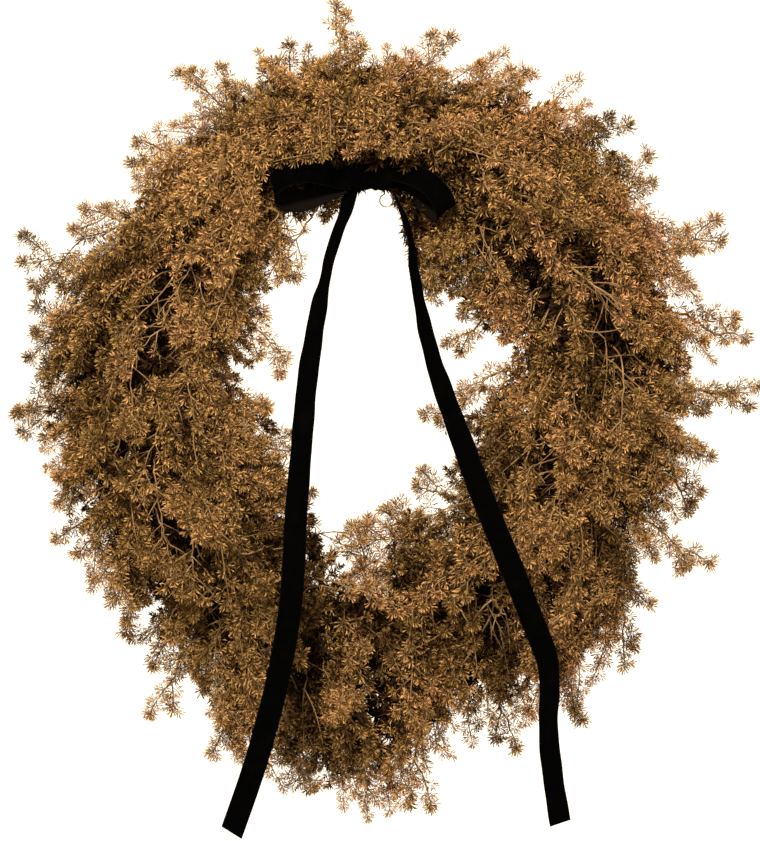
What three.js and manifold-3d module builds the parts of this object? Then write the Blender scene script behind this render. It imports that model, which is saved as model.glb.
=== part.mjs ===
// A hanging wreath of dried cypress with a velvet ribbon bow.
//
// Three vine strands are twisted into a ring. Bunches of cypress are tucked into the grooves
// between the strands, with their tips outward, forward and into the hole. A bow of flat ribbon is
// wired to the top of the ring, and its two tails hang across the hole and over the lower foliage.
//
// Units are millimetres. The wreath hangs in the XZ plane with +Z up and its front towards -Y.
// The origin is where the ring sits on its hook: the lowest point of the ring's top, inside the hole.

import * as THREE from 'three';
import { mergeVertices } from 'three/addons/utils/BufferGeometryUtils.js';
import Module from 'manifold-3d';

const wasm = await Module();
wasm.setup();

// Driving dimensions

const STRANDS = 3;
const VINE_RADIUS = 8.1;
const VINE_OFFSET = 9.83;
const VINE_TWISTS = 3;
const VINE_STEPS = 36;
const VINE_SIDES = 5;
const RING_TUBE = VINE_OFFSET + VINE_RADIUS;
const RING_RADIUS = 216.5;
const RING_CENTRE = new THREE.Vector3(0, 0, RING_TUBE - RING_RADIUS);

const RIBBON_WIDTH = 22;
const RIBBON_THICK = 1.2;
const WIRE_RADIUS = 0.6;

const GROOVE_DEEPEST = 7.2;
const GROOVE_SHALLOWEST = 11.4;
const GROOVE_STEP = 0.6;
const BUTT_LENGTH = 14;
const LIFT_LENGTH = 12;
const LIFT_HEIGHT = 3;
const STEM_RADIUS = 1.8;
const CORE_RADIUS = 4.2;
const TWIG_RADIUS = 2.2;
const TIP_RADIUS = 1.1;
const NEEDLE_STEP = 5.5;
const NEEDLE_REACH = 13;
const NEEDLE_LEAN = THREE.MathUtils.degToRad(42);
const TUFT_ROWS = 3;
const TUFT_STEP = 1.6;
const TUFT_REACH = 7;
const SPIRAL_TURN = Math.acos(-2 / 3);
const TWIG_ANGLE = THREE.MathUtils.degToRad(46);
const BARE_LENGTH = 16;
const SIDE_BARE = 9;
const GAP = 0.35;
const WALL = 24;
const JOINT_VOLUME = 2;
const WELD = 1e-3;
const GROWTH_SEED = 20261;

// Each row is one bunch: the clock angle of its tip in degrees from the top, the tip's distance
// from the ring's centre, how far it stands in front of the ring's middle plane, and the clock
// angle of its root on the ring.
const OUTER_TIPS = [
  [8, 358, 18, 1], [22, 345, -2, 13], [39, 353, 26, 30], [51, 340, 4, 40],
  [65, 366, 24, 54], [77, 356, -4, 64], [91, 358, 22, 78], [106, 325, 0, 92],
  [119, 336, 26, 104], [134, 346, 0, 117], [148, 357, 30, 130], [161, 348, 0, 143],
  [176, 393, 24, 158], [190, 384, 0, 208], [202, 366, 30, 220], [214, 363, 0, 233],
  [229, 326, 26, 246], [243, 330, -4, 259], [257, 323, 28, 272], [268, 357, 0, 284],
  [281, 341, 24, 294], [291, 373, -4, 303], [303, 341, 26, 314], [317, 346, 0, 328],
  [330, 367, 26, 339], [343, 346, 0, 351], [355, 375, 24, 357],
];
const INNER_TIPS = [
  [28, 138, 24, 14], [58, 98, 6, 42], [84, 84, 30, 66], [106, 52, 8, 90], [128, 104, 28, 112],
  [149, 88, 4, 132], [171, 108, 28, 152], [192, 131, 6, 184], [216, 130, 28, 234],
  [240, 104, 8, 258], [266, 116, 28, 282], [294, 108, 6, 312], [322, 158, 26, 338],
];
const FRONT_TIPS = [
  [40, 236, 64, 20], [70, 204, 80, 46], [99, 240, 66, 74], [129, 200, 82, 102],
  [158, 236, 68, 130], [185, 296, 62, 200], [206, 230, 76, 232], [232, 206, 78, 258],
  [261, 240, 80, 288], [288, 204, 70, 314], [318, 238, 66, 338],
];

const DOWN = new THREE.Vector3(0, 0, -1);
const FORWARD = new THREE.Vector3(0, -1, 0);

// Places on the ring

function radialAt(clock) {
  const angle = THREE.MathUtils.degToRad(clock);
  return new THREE.Vector3(Math.sin(angle), 0, Math.cos(angle));
}

// A point at a distance from the tube's middle; tube angle 0 faces outward and 90 faces forward.
function normalAt(clock, tubeAngle) {
  const angle = THREE.MathUtils.degToRad(tubeAngle);
  return radialAt(clock).multiplyScalar(Math.cos(angle)).addScaledVector(FORWARD, Math.sin(angle));
}

function onTube(clock, tubeAngle, distance) {
  return RING_CENTRE.clone()
    .addScaledVector(radialAt(clock), RING_RADIUS)
    .addScaledVector(normalAt(clock, tubeAngle), distance);
}

function strandAngle(clock, strand) {
  return VINE_TWISTS * clock + (360 / STRANDS) * strand;
}

// Solids

// A repeatable stream of numbers from 0 to 1.
function seeded(seed) {
  let state = seed >>> 0;
  return () => {
    state = (state + 0x6d2b79f5) >>> 0;
    let mixed = Math.imul(state ^ (state >>> 15), state | 1);
    mixed ^= mixed + Math.imul(mixed ^ (mixed >>> 7), mixed | 61);
    return ((mixed ^ (mixed >>> 14)) >>> 0) / 4294967296;
  };
}

function geometryOf(points, triangles) {
  const numbers = points.flatMap((point) => point.toArray());
  const geometry = new THREE.BufferGeometry();
  geometry.setAttribute('position', new THREE.Float32BufferAttribute(numbers, 3));
  geometry.setIndex(triangles.flat());
  return geometry;
}

function solidFrom(geometry) {
  const merged = mergeVertices(geometry, WELD);
  const mesh = new wasm.Mesh({
    numProp: 3,
    vertProperties: new Float32Array(merged.attributes.position.array),
    triVerts: new Uint32Array(merged.index.array),
  });
  return new wasm.Manifold(mesh);
}

function geometryFrom(solid) {
  const mesh = solid.getMesh();
  const geometry = new THREE.BufferGeometry();
  geometry.setAttribute('position', new THREE.Float32BufferAttribute(mesh.vertProperties, 3));
  geometry.setIndex(Array.from(mesh.triVerts));
  return geometry;
}

// Directions across a path that turn with it as little as they can.
function framesAlong(points) {
  const frames = [];
  let side = null;
  points.forEach((point, i) => {
    const before = points[Math.max(i - 1, 0)];
    const after = points[Math.min(i + 1, points.length - 1)];
    const along = after.clone().sub(before).normalize();
    if (side === null) {
      side = new THREE.Vector3(0, 1, 0);
      if (Math.abs(along.y) > 0.9) side.set(1, 0, 0);
    }
    side = side.clone().addScaledVector(along, -side.dot(along)).normalize();
    frames.push({ point, along, side, up: along.clone().cross(side) });
  });
  return frames;
}

// The faces of a body whose rings of corners follow each other, with flat ends.
function loftFaces(rings, sides) {
  const triangles = [];
  for (let i = 0; i + 1 < rings; i += 1) {
    for (let j = 0; j < sides; j += 1) {
      const a = i * sides + j;
      const b = i * sides + ((j + 1) % sides);
      triangles.push([a, b, b + sides], [a, b + sides, a + sides]);
    }
  }
  const last = (rings - 1) * sides;
  for (let j = 1; j + 1 < sides; j += 1) {
    triangles.push([0, j + 1, j], [last, last + j, last + j + 1]);
  }
  return triangles;
}

// A wire of straight faces along a path.
function wire(points, radius, sides) {
  const vertices = [];
  framesAlong(points).forEach(({ point, side, up }) => {
    for (let j = 0; j < sides; j += 1) {
      const angle = (2 * Math.PI * j) / sides;
      vertices.push(point.clone()
        .addScaledVector(side, radius * Math.cos(angle))
        .addScaledVector(up, radius * Math.sin(angle)));
    }
  });
  return outward(geometryOf(vertices, loftFaces(points.length, sides)));
}

// A sprig is a slim three-cornered twig whose corners climb round it in a spiral, with two faces
// for each corner. Along a bare stretch the faces are plain; along a needled one every second face
// rises into a needle that leans towards the tip; in a tuft both faces do.
const BARE = 0;
const NEEDLED = 1;
const TUFT = 2;
const NEEDLE_ASIDE = [0.9, -0.4];

function sprig(stations, random) {
  const vertices = [];
  const triangles = [];
  const frames = framesAlong(stations.map((station) => station.point));
  const towards = (frame, angle) => frame.side.clone().multiplyScalar(Math.cos(angle))
    .addScaledVector(frame.up, Math.sin(angle));
  frames.forEach((frame, k) => {
    vertices.push(frame.point.clone()
      .addScaledVector(towards(frame, SPIRAL_TURN * k), stations[k].radius));
  });
  const raise = ([a, b, c], peak) => {
    const top = vertices.length;
    vertices.push(peak);
    triangles.push([a, b, top], [b, c, top], [c, a, top]);
  };
  const needleTip = (k, aside) => {
    const full = stations[k].kind === TUFT ? TUFT_REACH : NEEDLE_REACH;
    const reach = full * (0.8 + 0.4 * random());
    const outwards = 0.5 * stations[k].radius + reach * Math.sin(NEEDLE_LEAN);
    return frames[k + 1].point.clone()
      .addScaledVector(towards(frames[k + 1], SPIRAL_TURN * k + aside), outwards)
      .addScaledVector(frames[k + 1].along, reach * Math.cos(NEEDLE_LEAN));
  };
  for (let k = 0; k + 3 < stations.length; k += 1) {
    const faces = [[k, k + 1, k + 3], [k, k + 3, k + 2]];
    faces.forEach((face, which) => {
      if (which < stations[k].kind) raise(face, needleTip(k, NEEDLE_ASIDE[which]));
      else triangles.push(face);
    });
  }
  const last = stations.length - 1;
  const end = frames[last];
  raise([last - 2, last - 1, last], end.point.clone().addScaledVector(end.along, TUFT_REACH));
  triangles.push([0, 2, 1]);
  return solidFrom(outward(geometryOf(vertices, triangles)));
}

// A flat ribbon along a path. Each station is [x, y, z, turn in degrees, width share], and
// widthAxisAt gives the way of the ribbon's width for a turn.
function ribbon(stations, steps, widthAxisAt) {
  const path = new THREE.CatmullRomCurve3(stations.map(([x, y, z]) => new THREE.Vector3(x, y, z)));
  const vertices = [];
  for (let i = 0; i <= steps; i += 1) {
    const t = i / steps;
    const place = t * (stations.length - 1);
    const k = Math.min(Math.floor(place), stations.length - 2);
    const mix = place - k;
    const share = THREE.MathUtils.lerp(stations[k][4], stations[k + 1][4], mix);
    const turn = THREE.MathUtils.lerp(stations[k][3], stations[k + 1][3], mix);
    const centre = path.getPoint(t);
    const along = path.getTangent(t);
    const across = widthAxisAt(THREE.MathUtils.degToRad(turn));
    across.addScaledVector(along, -across.dot(along)).normalize();
    const face = across.clone().cross(along);
    for (const [a, f] of [[-1, -1], [1, -1], [1, 1], [-1, 1]]) {
      vertices.push(centre.clone()
        .addScaledVector(across, (a * share * RIBBON_WIDTH) / 2)
        .addScaledVector(face, (f * RIBBON_THICK) / 2));
    }
  }
  return outward(geometryOf(vertices, loftFaces(steps + 1, 4)));
}

// Turns a closed mesh right side out.
function outward(geometry) {
  const points = geometry.attributes.position;
  const index = geometry.index.array;
  const [a, b, c] = [new THREE.Vector3(), new THREE.Vector3(), new THREE.Vector3()];
  let volume = 0;
  for (let i = 0; i < index.length; i += 3) {
    a.fromBufferAttribute(points, index[i]);
    b.fromBufferAttribute(points, index[i + 1]);
    c.fromBufferAttribute(points, index[i + 2]);
    volume += a.dot(b.cross(c));
  }
  if (volume < 0) {
    for (let i = 0; i < index.length; i += 3) {
      [index[i + 1], index[i + 2]] = [index[i + 2], index[i + 1]];
    }
  }
  return geometry;
}

// The parts

const wreath = new THREE.Group();
wreath.name = 'wreath';
const placed = [];

function addPart(name, geometry, material) {
  const mesh = new THREE.Mesh(geometry, material);
  mesh.name = name;
  wreath.add(mesh);
}

function matte(color, roughness) {
  return new THREE.MeshStandardMaterial({ color, roughness, metalness: 0 });
}

function keepClearOf(name, geometry) {
  const solid = solidFrom(geometry);
  placed.push({ name, solid, box: solid.boundingBox() });
}

function makeRing() {
  const bark = matte('#3b2a20', 0.9);
  for (let strand = 0; strand < STRANDS; strand += 1) {
    const points = [];
    for (let i = 0; i < VINE_STEPS; i += 1) {
      const clock = (360 * i) / VINE_STEPS;
      points.push(onTube(clock, strandAngle(clock, strand), VINE_OFFSET));
    }
    const path = new THREE.CatmullRomCurve3(points, true);
    const geometry = new THREE.TubeGeometry(path, VINE_STEPS, VINE_RADIUS, VINE_SIDES, true);
    geometry.deleteAttribute('normal');
    geometry.deleteAttribute('uv');
    const merged = outward(mergeVertices(geometry, WELD));
    addPart(`vine_strand_${strand + 1}`, merged, bark);
    keepClearOf(`vine_strand_${strand + 1}`, merged);
  }
}

const KNOT_LEFT = -36;
const KNOT_RIGHT = 18;
const KNOT_BOTTOM = 1;
const KNOT_HEIGHT = 24;
const KNOT_BACK = -19.5;
const KNOT_DEPTH = 17;
const KNOT_SIDES = 8;
const KNOT_PROFILE = [[0, 0.62], [0.14, 0.9], [0.38, 1], [0.5, 0.9], [0.62, 1], [0.86, 0.9], [1, 0.62]];

// The knot is a gathered roll of ribbon: a rounded bar, waisted at its middle and at its ends.
function knot() {
  const toCorner = 0.5 / Math.cos(Math.PI / KNOT_SIDES);
  const vertices = [];
  for (const [share, girth] of KNOT_PROFILE) {
    for (let j = 0; j < KNOT_SIDES; j += 1) {
      const angle = (2 * Math.PI * (j + 0.5)) / KNOT_SIDES;
      vertices.push(new THREE.Vector3(
        THREE.MathUtils.lerp(KNOT_LEFT, KNOT_RIGHT, share),
        KNOT_BACK - KNOT_DEPTH / 2 + girth * toCorner * KNOT_DEPTH * Math.cos(angle),
        KNOT_BOTTOM + KNOT_HEIGHT / 2 + girth * toCorner * KNOT_HEIGHT * Math.sin(angle),
      ));
    }
  }
  return outward(geometryOf(vertices, loftFaces(KNOT_PROFILE.length, KNOT_SIDES)));
}

const LOOP_STEPS = 18;
const LOOP_STATIONS = 9;
const LOOP_SWELL = 0.62;
const LOOP_END_SHIFT = 2.2;

// A loop of the bow: a teardrop band that leaves the knot, turns round and comes back. Its two
// halves part along openingWay, and the whole loop arches along riseWay.
function bowLoop({ start, lengthWay, openingWay, widthWay, riseWay, length, opening, rise }) {
  const stations = [];
  for (let i = 0; i <= LOOP_STATIONS; i += 1) {
    const angle = (2 * Math.PI * i) / LOOP_STATIONS;
    const out = (length / 2) * (1 - Math.cos(angle));
    const aside = LOOP_SWELL * opening * Math.sin(angle) * Math.sin(angle / 2);
    const shift = { 0: LOOP_END_SHIFT, [LOOP_STATIONS]: -LOOP_END_SHIFT }[i] ?? 0;
    const point = start.clone()
      .addScaledVector(lengthWay, out)
      .addScaledVector(openingWay, aside + shift)
      .addScaledVector(riseWay, rise * Math.sin((Math.PI * out) / length));
    stations.push([...point.toArray(), 0, 1]);
  }
  const band = solidFrom(ribbon(stations, LOOP_STEPS, () => widthWay.clone()));
  return geometryFrom(band.subtract(knotSpace()));
}

// The space that the knot takes, from end to end; the loops are cut off square against it.
function knotSpace() {
  const length = KNOT_RIGHT - KNOT_LEFT + 2 * GAP;
  const block = new THREE.BoxGeometry(length, 2 * length, 2 * length);
  block.translate((KNOT_LEFT + KNOT_RIGHT) / 2, 0, 0);
  block.deleteAttribute('normal');
  block.deleteAttribute('uv');
  return solidFrom(block);
}

const LEFT_LOOP = {
  start: new THREE.Vector3(KNOT_LEFT + 3, -34, 10),
  lengthWay: new THREE.Vector3(-1, -0.24, -0.14).normalize(),
  openingWay: new THREE.Vector3(0, -0.62, 0.78).normalize(),
  widthWay: new THREE.Vector3(-0.1, 0.3, 0.95).normalize(),
  riseWay: new THREE.Vector3(0, 0, 1),
  length: 70,
  opening: 35,
  rise: 0,
};
const RIGHT_LOOP = {
  start: new THREE.Vector3(KNOT_RIGHT - 3, -34, 19),
  lengthWay: new THREE.Vector3(0.75, -0.2, -0.63).normalize(),
  openingWay: new THREE.Vector3(0.25, -0.9, 0.36).normalize(),
  widthWay: new THREE.Vector3(0.77, 0, 0.64).normalize(),
  riseWay: new THREE.Vector3(0.64, 0, 0.77).normalize(),
  length: 62,
  opening: 28,
  rise: 5,
};

// Turn 0 lays a tail's width across the view and 90 turns it edge on.
function tailWidth(turn) {
  return new THREE.Vector3(Math.cos(turn), Math.sin(turn), 0);
}

// The tails, from the knot down. Both leave the knot turned and face the front as they fall, and
// the right one goes on turning where it bends over the foliage.
const LEFT_TAIL = [
  [-27, -30, 1.2, -25, 0.62], [-31.5, -35, -18, -46, 0.85], [-38, -41, -36, -56, 1],
  [-44.5, -46.5, -54, -61, 1], [-49.5, -52, -74, -62, 1], [-53.5, -56.5, -91, -57, 1],
  [-57, -60.5, -108, -46, 1], [-62.4, -67, -142, -35, 1], [-68.1, -73, -180, -28, 1],
  [-72, -78, -220, -25, 1], [-75.5, -84, -266, -21, 1], [-79, -90, -312, -13, 1],
  [-81, -96, -354, -4, 1], [-85, -99, -400, 0, 1], [-95, -99, -457, 0, 1],
  [-109, -97, -513, 0, 1], [-122, -95, -555.5, 0, 1], [-139.4, -91, -605.2, 0, 1],
];
const RIGHT_TAIL = [
  [12, -30, 1.6, 82, 0.62], [19.5, -37, -17, 78, 0.9], [25, -42, -34, 74, 1],
  [29.2, -47, -53, 71, 1], [32, -51, -80, 66, 1], [40.8, -58, -123.7, 53, 1],
  [50.2, -66, -161.2, 41, 1], [62.4, -73, -198.8, 28, 1], [76.5, -80.5, -236.3, 16, 1],
  [90.1, -87, -273.9, 10, 1], [106, -93, -314, 5, 1], [124.4, -98, -358.3, 0, 1],
  [140, -100, -398, 0, 1], [150.5, -101, -424, -6, 1], [157, -101, -443, -20, 1],
  [159.6, -100, -466, -36, 1], [158.3, -100, -499, -37, 1], [159.5, -100, -527, -33, 1],
  [163.5, -99, -560, -29, 1], [169.4, -96, -595.8, -26, 1],
];
const LEFT_TAIL_STEPS = 34;
const RIGHT_TAIL_STEPS = 38;

function makeBow() {
  const velvet = matte('#151210', 0.95);
  const bow = new Map();
  bow.set('bow_knot', knot());
  bow.set('ribbon_tail_left', ribbon(LEFT_TAIL, LEFT_TAIL_STEPS, tailWidth));
  bow.set('ribbon_tail_right', ribbon(RIGHT_TAIL, RIGHT_TAIL_STEPS, tailWidth));
  bow.set('bow_loop_left', bowLoop(LEFT_LOOP));
  bow.set('bow_loop_right', bowLoop(RIGHT_LOOP));
  for (const [name, geometry] of bow) {
    addPart(name, geometry, velvet);
    keepClearOf(name, geometry);
  }
}

const WIRE_SIDES = 3;
const TIE_CLOCK = 1.2;
const TIE_FROM = 98;
const TIE_TURN = 285;
const TIE_STEPS = 14;
const EYE_CENTRE = new THREE.Vector3(6, -19.5, -8);
const EYE_RADIUS = 6.2;
const EYE_FROM = 128;
const EYE_TURN = 288;
const EYE_STEPS = 8;
const EYE_DRIFT = -2;

// One piece of thin wire goes round the ring behind the knot, and its end hangs in a small eye.
function makeBowWire() {
  const steel = new THREE.MeshStandardMaterial({ color: '#8a8784', roughness: 0.4, metalness: 1 });
  const round = RING_TUBE + 2 * WIRE_RADIUS;
  const points = [];
  for (let i = 0; i <= TIE_STEPS; i += 1) {
    points.push(onTube(TIE_CLOCK, TIE_FROM - (TIE_TURN * i) / TIE_STEPS, round));
  }
  for (let i = 0; i <= EYE_STEPS; i += 1) {
    const angle = THREE.MathUtils.degToRad(EYE_FROM + (EYE_TURN * i) / EYE_STEPS);
    points.push(EYE_CENTRE.clone().add(new THREE.Vector3(
      EYE_RADIUS * Math.cos(angle),
      (EYE_DRIFT * i) / EYE_STEPS,
      EYE_RADIUS * Math.sin(angle),
    )));
  }
  const geometry = wire(points, WIRE_RADIUS, WIRE_SIDES);
  addPart('bow_wire', geometry, steel);
  keepClearOf('bow_wire', geometry);
}

// Foliage

function boxesTouch(a, b, margin) {
  return [0, 1, 2].every((k) => a.min[k] - margin < b.max[k] && b.min[k] - margin < a.max[k]);
}

// True where a solid stays off the wall and keeps its gap to everything of another part.
function isClear(solid, name) {
  const box = solid.boundingBox();
  return box.max[1] < WALL && placed.every((other) => other.name === name
    || !boxesTouch(box, other.box, GAP)
    || solid.minGap(other.solid, 2 * GAP) > GAP);
}

function settle(name, pieces, solid) {
  pieces.push(solid);
  placed.push({ name, solid, box: solid.boundingBox() });
}

// The groove between two strands that lies nearest a wanted tube angle.
function grooveAngle(clock, wanted) {
  let best = null;
  for (let strand = 0; strand < STRANDS; strand += 1) {
    const angle = strandAngle(clock, strand) + 180 / STRANDS;
    const off = Math.abs(((angle - wanted + 540) % 360) - 180);
    if (best === null || off < best.off) best = { angle, off };
  }
  return best.angle;
}

const ROOT_SHIFTS = [0, 4, -4, 8, -8, 12, -12];
const ROOT_TURNS = [0, 60, -60, 120, -120];
const LEAVE_SHARE = 0.3;
const ARRIVE_SHARE = 0.4;

// The main stem: its butt lies in a groove, then it lifts out and bends over to its tip.
function leaderCurve(bunch, attempt, grooveDepth) {
  const shift = ROOT_SHIFTS[attempt % ROOT_SHIFTS.length];
  const turn = ROOT_TURNS[Math.floor(attempt / ROOT_SHIFTS.length)];
  const rootClock = bunch.rootClock + shift;
  const flow = bunch.rootClock > 180 ? -1 : 1;
  const perMillimetre = 180 / (Math.PI * RING_RADIUS);
  const rootAngle = grooveAngle(rootClock, bunch.tubeAngle + turn);
  const inGroove = (distance, depth) => {
    const clock = rootClock + flow * distance * perMillimetre;
    return onTube(clock, rootAngle + VINE_TWISTS * (clock - rootClock), depth);
  };
  const start = inGroove(LIFT_LENGTH, RING_TUBE + LIFT_HEIGHT);
  const tip = RING_CENTRE.clone()
    .addScaledVector(radialAt(bunch.clock), bunch.radius - TUFT_REACH)
    .addScaledVector(FORWARD, bunch.depth);
  const length = start.distanceTo(tip);
  const leave = start.clone().sub(inGroove(0, grooveDepth)).normalize();
  const arrive = tip.clone().sub(start).normalize().addScaledVector(DOWN, bunch.droop).normalize();
  const bend = new THREE.CubicBezierCurve3(
    start,
    start.clone().addScaledVector(leave, LEAVE_SHARE * length),
    tip.clone().addScaledVector(arrive, -ARRIVE_SHARE * length),
    tip,
  );
  return { butt: [inGroove(-BUTT_LENGTH, grooveDepth), inGroove(0, grooveDepth)], bend };
}

// Stations along a curve from one distance to another: the core swells and thins again between
// them, and the end is a tuft.
function needledStations(at, from, to, startRadius, fullRadius) {
  const stations = [];
  const tuftFrom = to - TUFT_ROWS * TUFT_STEP;
  const steps = Math.round((tuftFrom - from) / NEEDLE_STEP);
  for (let i = 0; i < steps; i += 1) {
    const t = i / steps;
    const swell = Math.sin(Math.PI * Math.sqrt(t)) ** 0.7;
    const thin = THREE.MathUtils.lerp(startRadius, TIP_RADIUS, t);
    stations.push({
      point: at(from + (tuftFrom - from) * t),
      radius: thin + (fullRadius - thin) * swell,
      kind: NEEDLED,
    });
  }
  for (let i = 0; i <= TUFT_ROWS; i += 1) {
    stations.push({ point: at(tuftFrom + i * TUFT_STEP), radius: TIP_RADIUS, kind: TUFT });
  }
  return stations;
}

function leaderStations({ butt, bend }) {
  const stations = butt.map((point) => ({ point, radius: STEM_RADIUS, kind: BARE }));
  const length = bend.getLength();
  const at = (distance) => bend.getPointAt(THREE.MathUtils.clamp(distance / length, 0, 1));
  stations.push({ point: at(0), radius: STEM_RADIUS, kind: BARE });
  return [...stations, ...needledStations(at, BARE_LENGTH, length, STEM_RADIUS, CORE_RADIUS)];
}

const SIDE_BEND = 0.12;
const SIDE_CLOSING = 0.25;
const SIDE_SAG = 0.06;

// A side spray leaves the stem at a slant, bends back towards the stem's own way and sags a little.
function sideStations(bend, share, azimuth, length, slantShare) {
  const root = bend.getPointAt(share);
  const along = bend.getTangentAt(share);
  const side = new THREE.Vector3(0, 1, 0).addScaledVector(along, -along.y).normalize();
  const up = along.clone().cross(side);
  const out = side.multiplyScalar(Math.cos(azimuth)).addScaledVector(up, Math.sin(azimuth));
  const slant = TWIG_ANGLE * slantShare;
  const at = (distance) => {
    const t = distance / length;
    return root.clone()
      .addScaledVector(along, length * (t * Math.cos(slant) + SIDE_BEND * t * t))
      .addScaledVector(out, length * Math.sin(slant) * t * (1 - SIDE_CLOSING * t))
      .addScaledVector(DOWN, SIDE_SAG * length * t * t);
  };
  const bare = [at(0), at(SIDE_BARE / 2)].map((point) => ({ point, radius: TIP_RADIUS, kind: BARE }));
  return [...bare, ...needledStations(at, SIDE_BARE, length, TIP_RADIUS, TWIG_RADIUS)];
}

const GOLDEN_ANGLE = THREE.MathUtils.degToRad(137.5);
const SIDE_TURNS = [0, 0.6, -0.6, 1.2, -1.2, 1.9, -1.9, 2.6];
const SIDE_LENGTHS = [1, 0.7];
const SIDE_SHARES = [0.2, 0.78];
const LAST_SIDE_LENGTH = 0.75;
const FORWARD_DEPTH = 15;

function bunchesOf(kind, rows, habitAt) {
  return rows.map(([clock, radius, depth, rootClock], i) => ({
    name: `${kind}_bunch_${String(i + 1).padStart(2, '0')}`,
    clock,
    radius,
    depth,
    rootClock,
    ...habitAt(clock, depth),
  }));
}

// Each kind of bunch has its droop, the side of the ring it is rooted on, and its side sprays.
function allBunches() {
  const hang = (clock) => Math.max(0, -Math.cos(THREE.MathUtils.degToRad(clock)));
  const outer = (clock, depth) => (
    { droop: 0.2 + 0.5 * hang(clock), tubeAngle: depth > FORWARD_DEPTH ? 40 : 0, sides: 4, longest: 58 });
  const inner = () => ({ droop: 0.15, tubeAngle: 160, sides: 3, longest: 44 });
  const front = () => ({ droop: 0.2, tubeAngle: 90, sides: 4, longest: 54 });
  return [
    ...bunchesOf('outer', OUTER_TIPS, outer),
    ...bunchesOf('inner', INNER_TIPS, inner),
    ...bunchesOf('front', FRONT_TIPS, front),
  ];
}

// The main stem takes the first root place that keeps it clear of everything else, with its butt
// as deep in the groove there as it goes.
function growLeader(bunch) {
  for (let attempt = 0; attempt < ROOT_SHIFTS.length * ROOT_TURNS.length; attempt += 1) {
    for (let depth = GROOVE_DEEPEST; depth <= GROOVE_SHALLOWEST; depth += GROOVE_STEP) {
      const curve = leaderCurve(bunch, attempt, depth);
      const solid = sprig(leaderStations(curve), seeded(bunch.seed));
      if (isClear(solid, bunch.name)) {
        bunch.bend = curve.bend;
        settle(bunch.name, bunch.pieces, solid);
        return;
      }
    }
  }
}

// A side spray turns round its stem, then shortens, until it is clear of other bunches.
function growSide(bunch, order) {
  const along = order / (bunch.sides - 1);
  const share = THREE.MathUtils.lerp(SIDE_SHARES[0], SIDE_SHARES[1], along);
  const length = bunch.longest * THREE.MathUtils.lerp(1, LAST_SIDE_LENGTH, along);
  const azimuth = order * GOLDEN_ANGLE + 2 * Math.PI * bunch.random();
  const slantShare = 0.8 + 0.4 * bunch.random();
  for (const shorter of SIDE_LENGTHS) {
    for (const turn of SIDE_TURNS) {
      const stations = sideStations(bunch.bend, share, azimuth + turn, length * shorter, slantShare);
      const solid = sprig(stations, seeded(bunch.seed + order + 1));
      const joint = bunch.pieces[0].intersect(solid).volume();
      if (joint > JOINT_VOLUME && isClear(solid, bunch.name)) {
        settle(bunch.name, bunch.pieces, solid);
        return;
      }
    }
  }
}

// One body from a bunch's stem and sprays, with no scrap beside it and no hollow sealed in it.
function fuse(pieces) {
  const whole = pieces.reduce((sum, piece) => sum.add(piece));
  return whole.decompose().sort((a, b) => b.volume() - a.volume())[0];
}

function makeFoliage() {
  const tones = ['#9a7347', '#8a6a3c', '#a27a52', '#7f6637'];
  const random = seeded(GROWTH_SEED);
  const bunches = allBunches();
  for (const bunch of bunches) {
    bunch.pieces = [];
    bunch.seed = Math.floor(random() * 1e9);
    bunch.random = seeded(bunch.seed);
    growLeader(bunch);
  }
  const most = Math.max(...bunches.map((bunch) => bunch.sides));
  for (let order = 0; order < most; order += 1) {
    bunches.filter((bunch) => order < bunch.sides).forEach((bunch) => growSide(bunch, order));
  }
  bunches.forEach((bunch, i) => {
    addPart(bunch.name, geometryFrom(fuse(bunch.pieces)), matte(tones[i % tones.length], 0.85));
  });
}

makeRing();
makeBow();
makeBowWire();
makeFoliage();

export default wreath;
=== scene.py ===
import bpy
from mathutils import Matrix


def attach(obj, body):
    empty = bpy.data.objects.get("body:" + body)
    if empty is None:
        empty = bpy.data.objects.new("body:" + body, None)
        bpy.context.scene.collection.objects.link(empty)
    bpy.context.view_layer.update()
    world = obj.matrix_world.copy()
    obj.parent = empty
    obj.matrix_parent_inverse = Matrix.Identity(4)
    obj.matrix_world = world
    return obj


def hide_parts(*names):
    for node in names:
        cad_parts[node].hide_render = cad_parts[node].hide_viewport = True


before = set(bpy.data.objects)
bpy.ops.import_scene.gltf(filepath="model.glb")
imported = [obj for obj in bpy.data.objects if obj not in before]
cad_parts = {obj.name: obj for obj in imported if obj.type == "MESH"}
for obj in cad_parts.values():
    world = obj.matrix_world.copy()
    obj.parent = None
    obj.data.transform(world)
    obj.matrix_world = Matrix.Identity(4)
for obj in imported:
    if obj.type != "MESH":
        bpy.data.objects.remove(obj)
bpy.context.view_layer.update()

import math

import bpy
import numpy as np
from mathutils import Vector

MM = 0.001

# Sizes of the real wreath, in millimetres. The ring lies in the XZ plane and its front is -Y.
RING_RADIUS = 216.5
RING_TUBE = 17.93
RING_HEIGHT = -198.57
STRANDS = 3
STRAND_OFFSET = 9.83
STRAND_RADIUS = 7.8
TWISTS = 3

# A strand's bark: its depth and roughness; its ridges, each set with its height, its number round the
# strand and its twist along the ring; its old leaf nodes, with their number, their height and how
# far they spread, in square degrees; and the length and width of a fibre.
BARK_DEPTH, BARK_ROUGH = 0.45, 0.05
BARK_RIDGES = [(0.2, 5, 0), (0.14, 9, 4)]
LEAF_NODES, NODE_SWELL, NODE_SPREAD = 9, 0.35, 6
FIBRE_LENGTH, FIBRE_WIDTH = 9, 0.9

RIBBON_WIDTH = 22
RIBBON_THICK = 1.0

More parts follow.
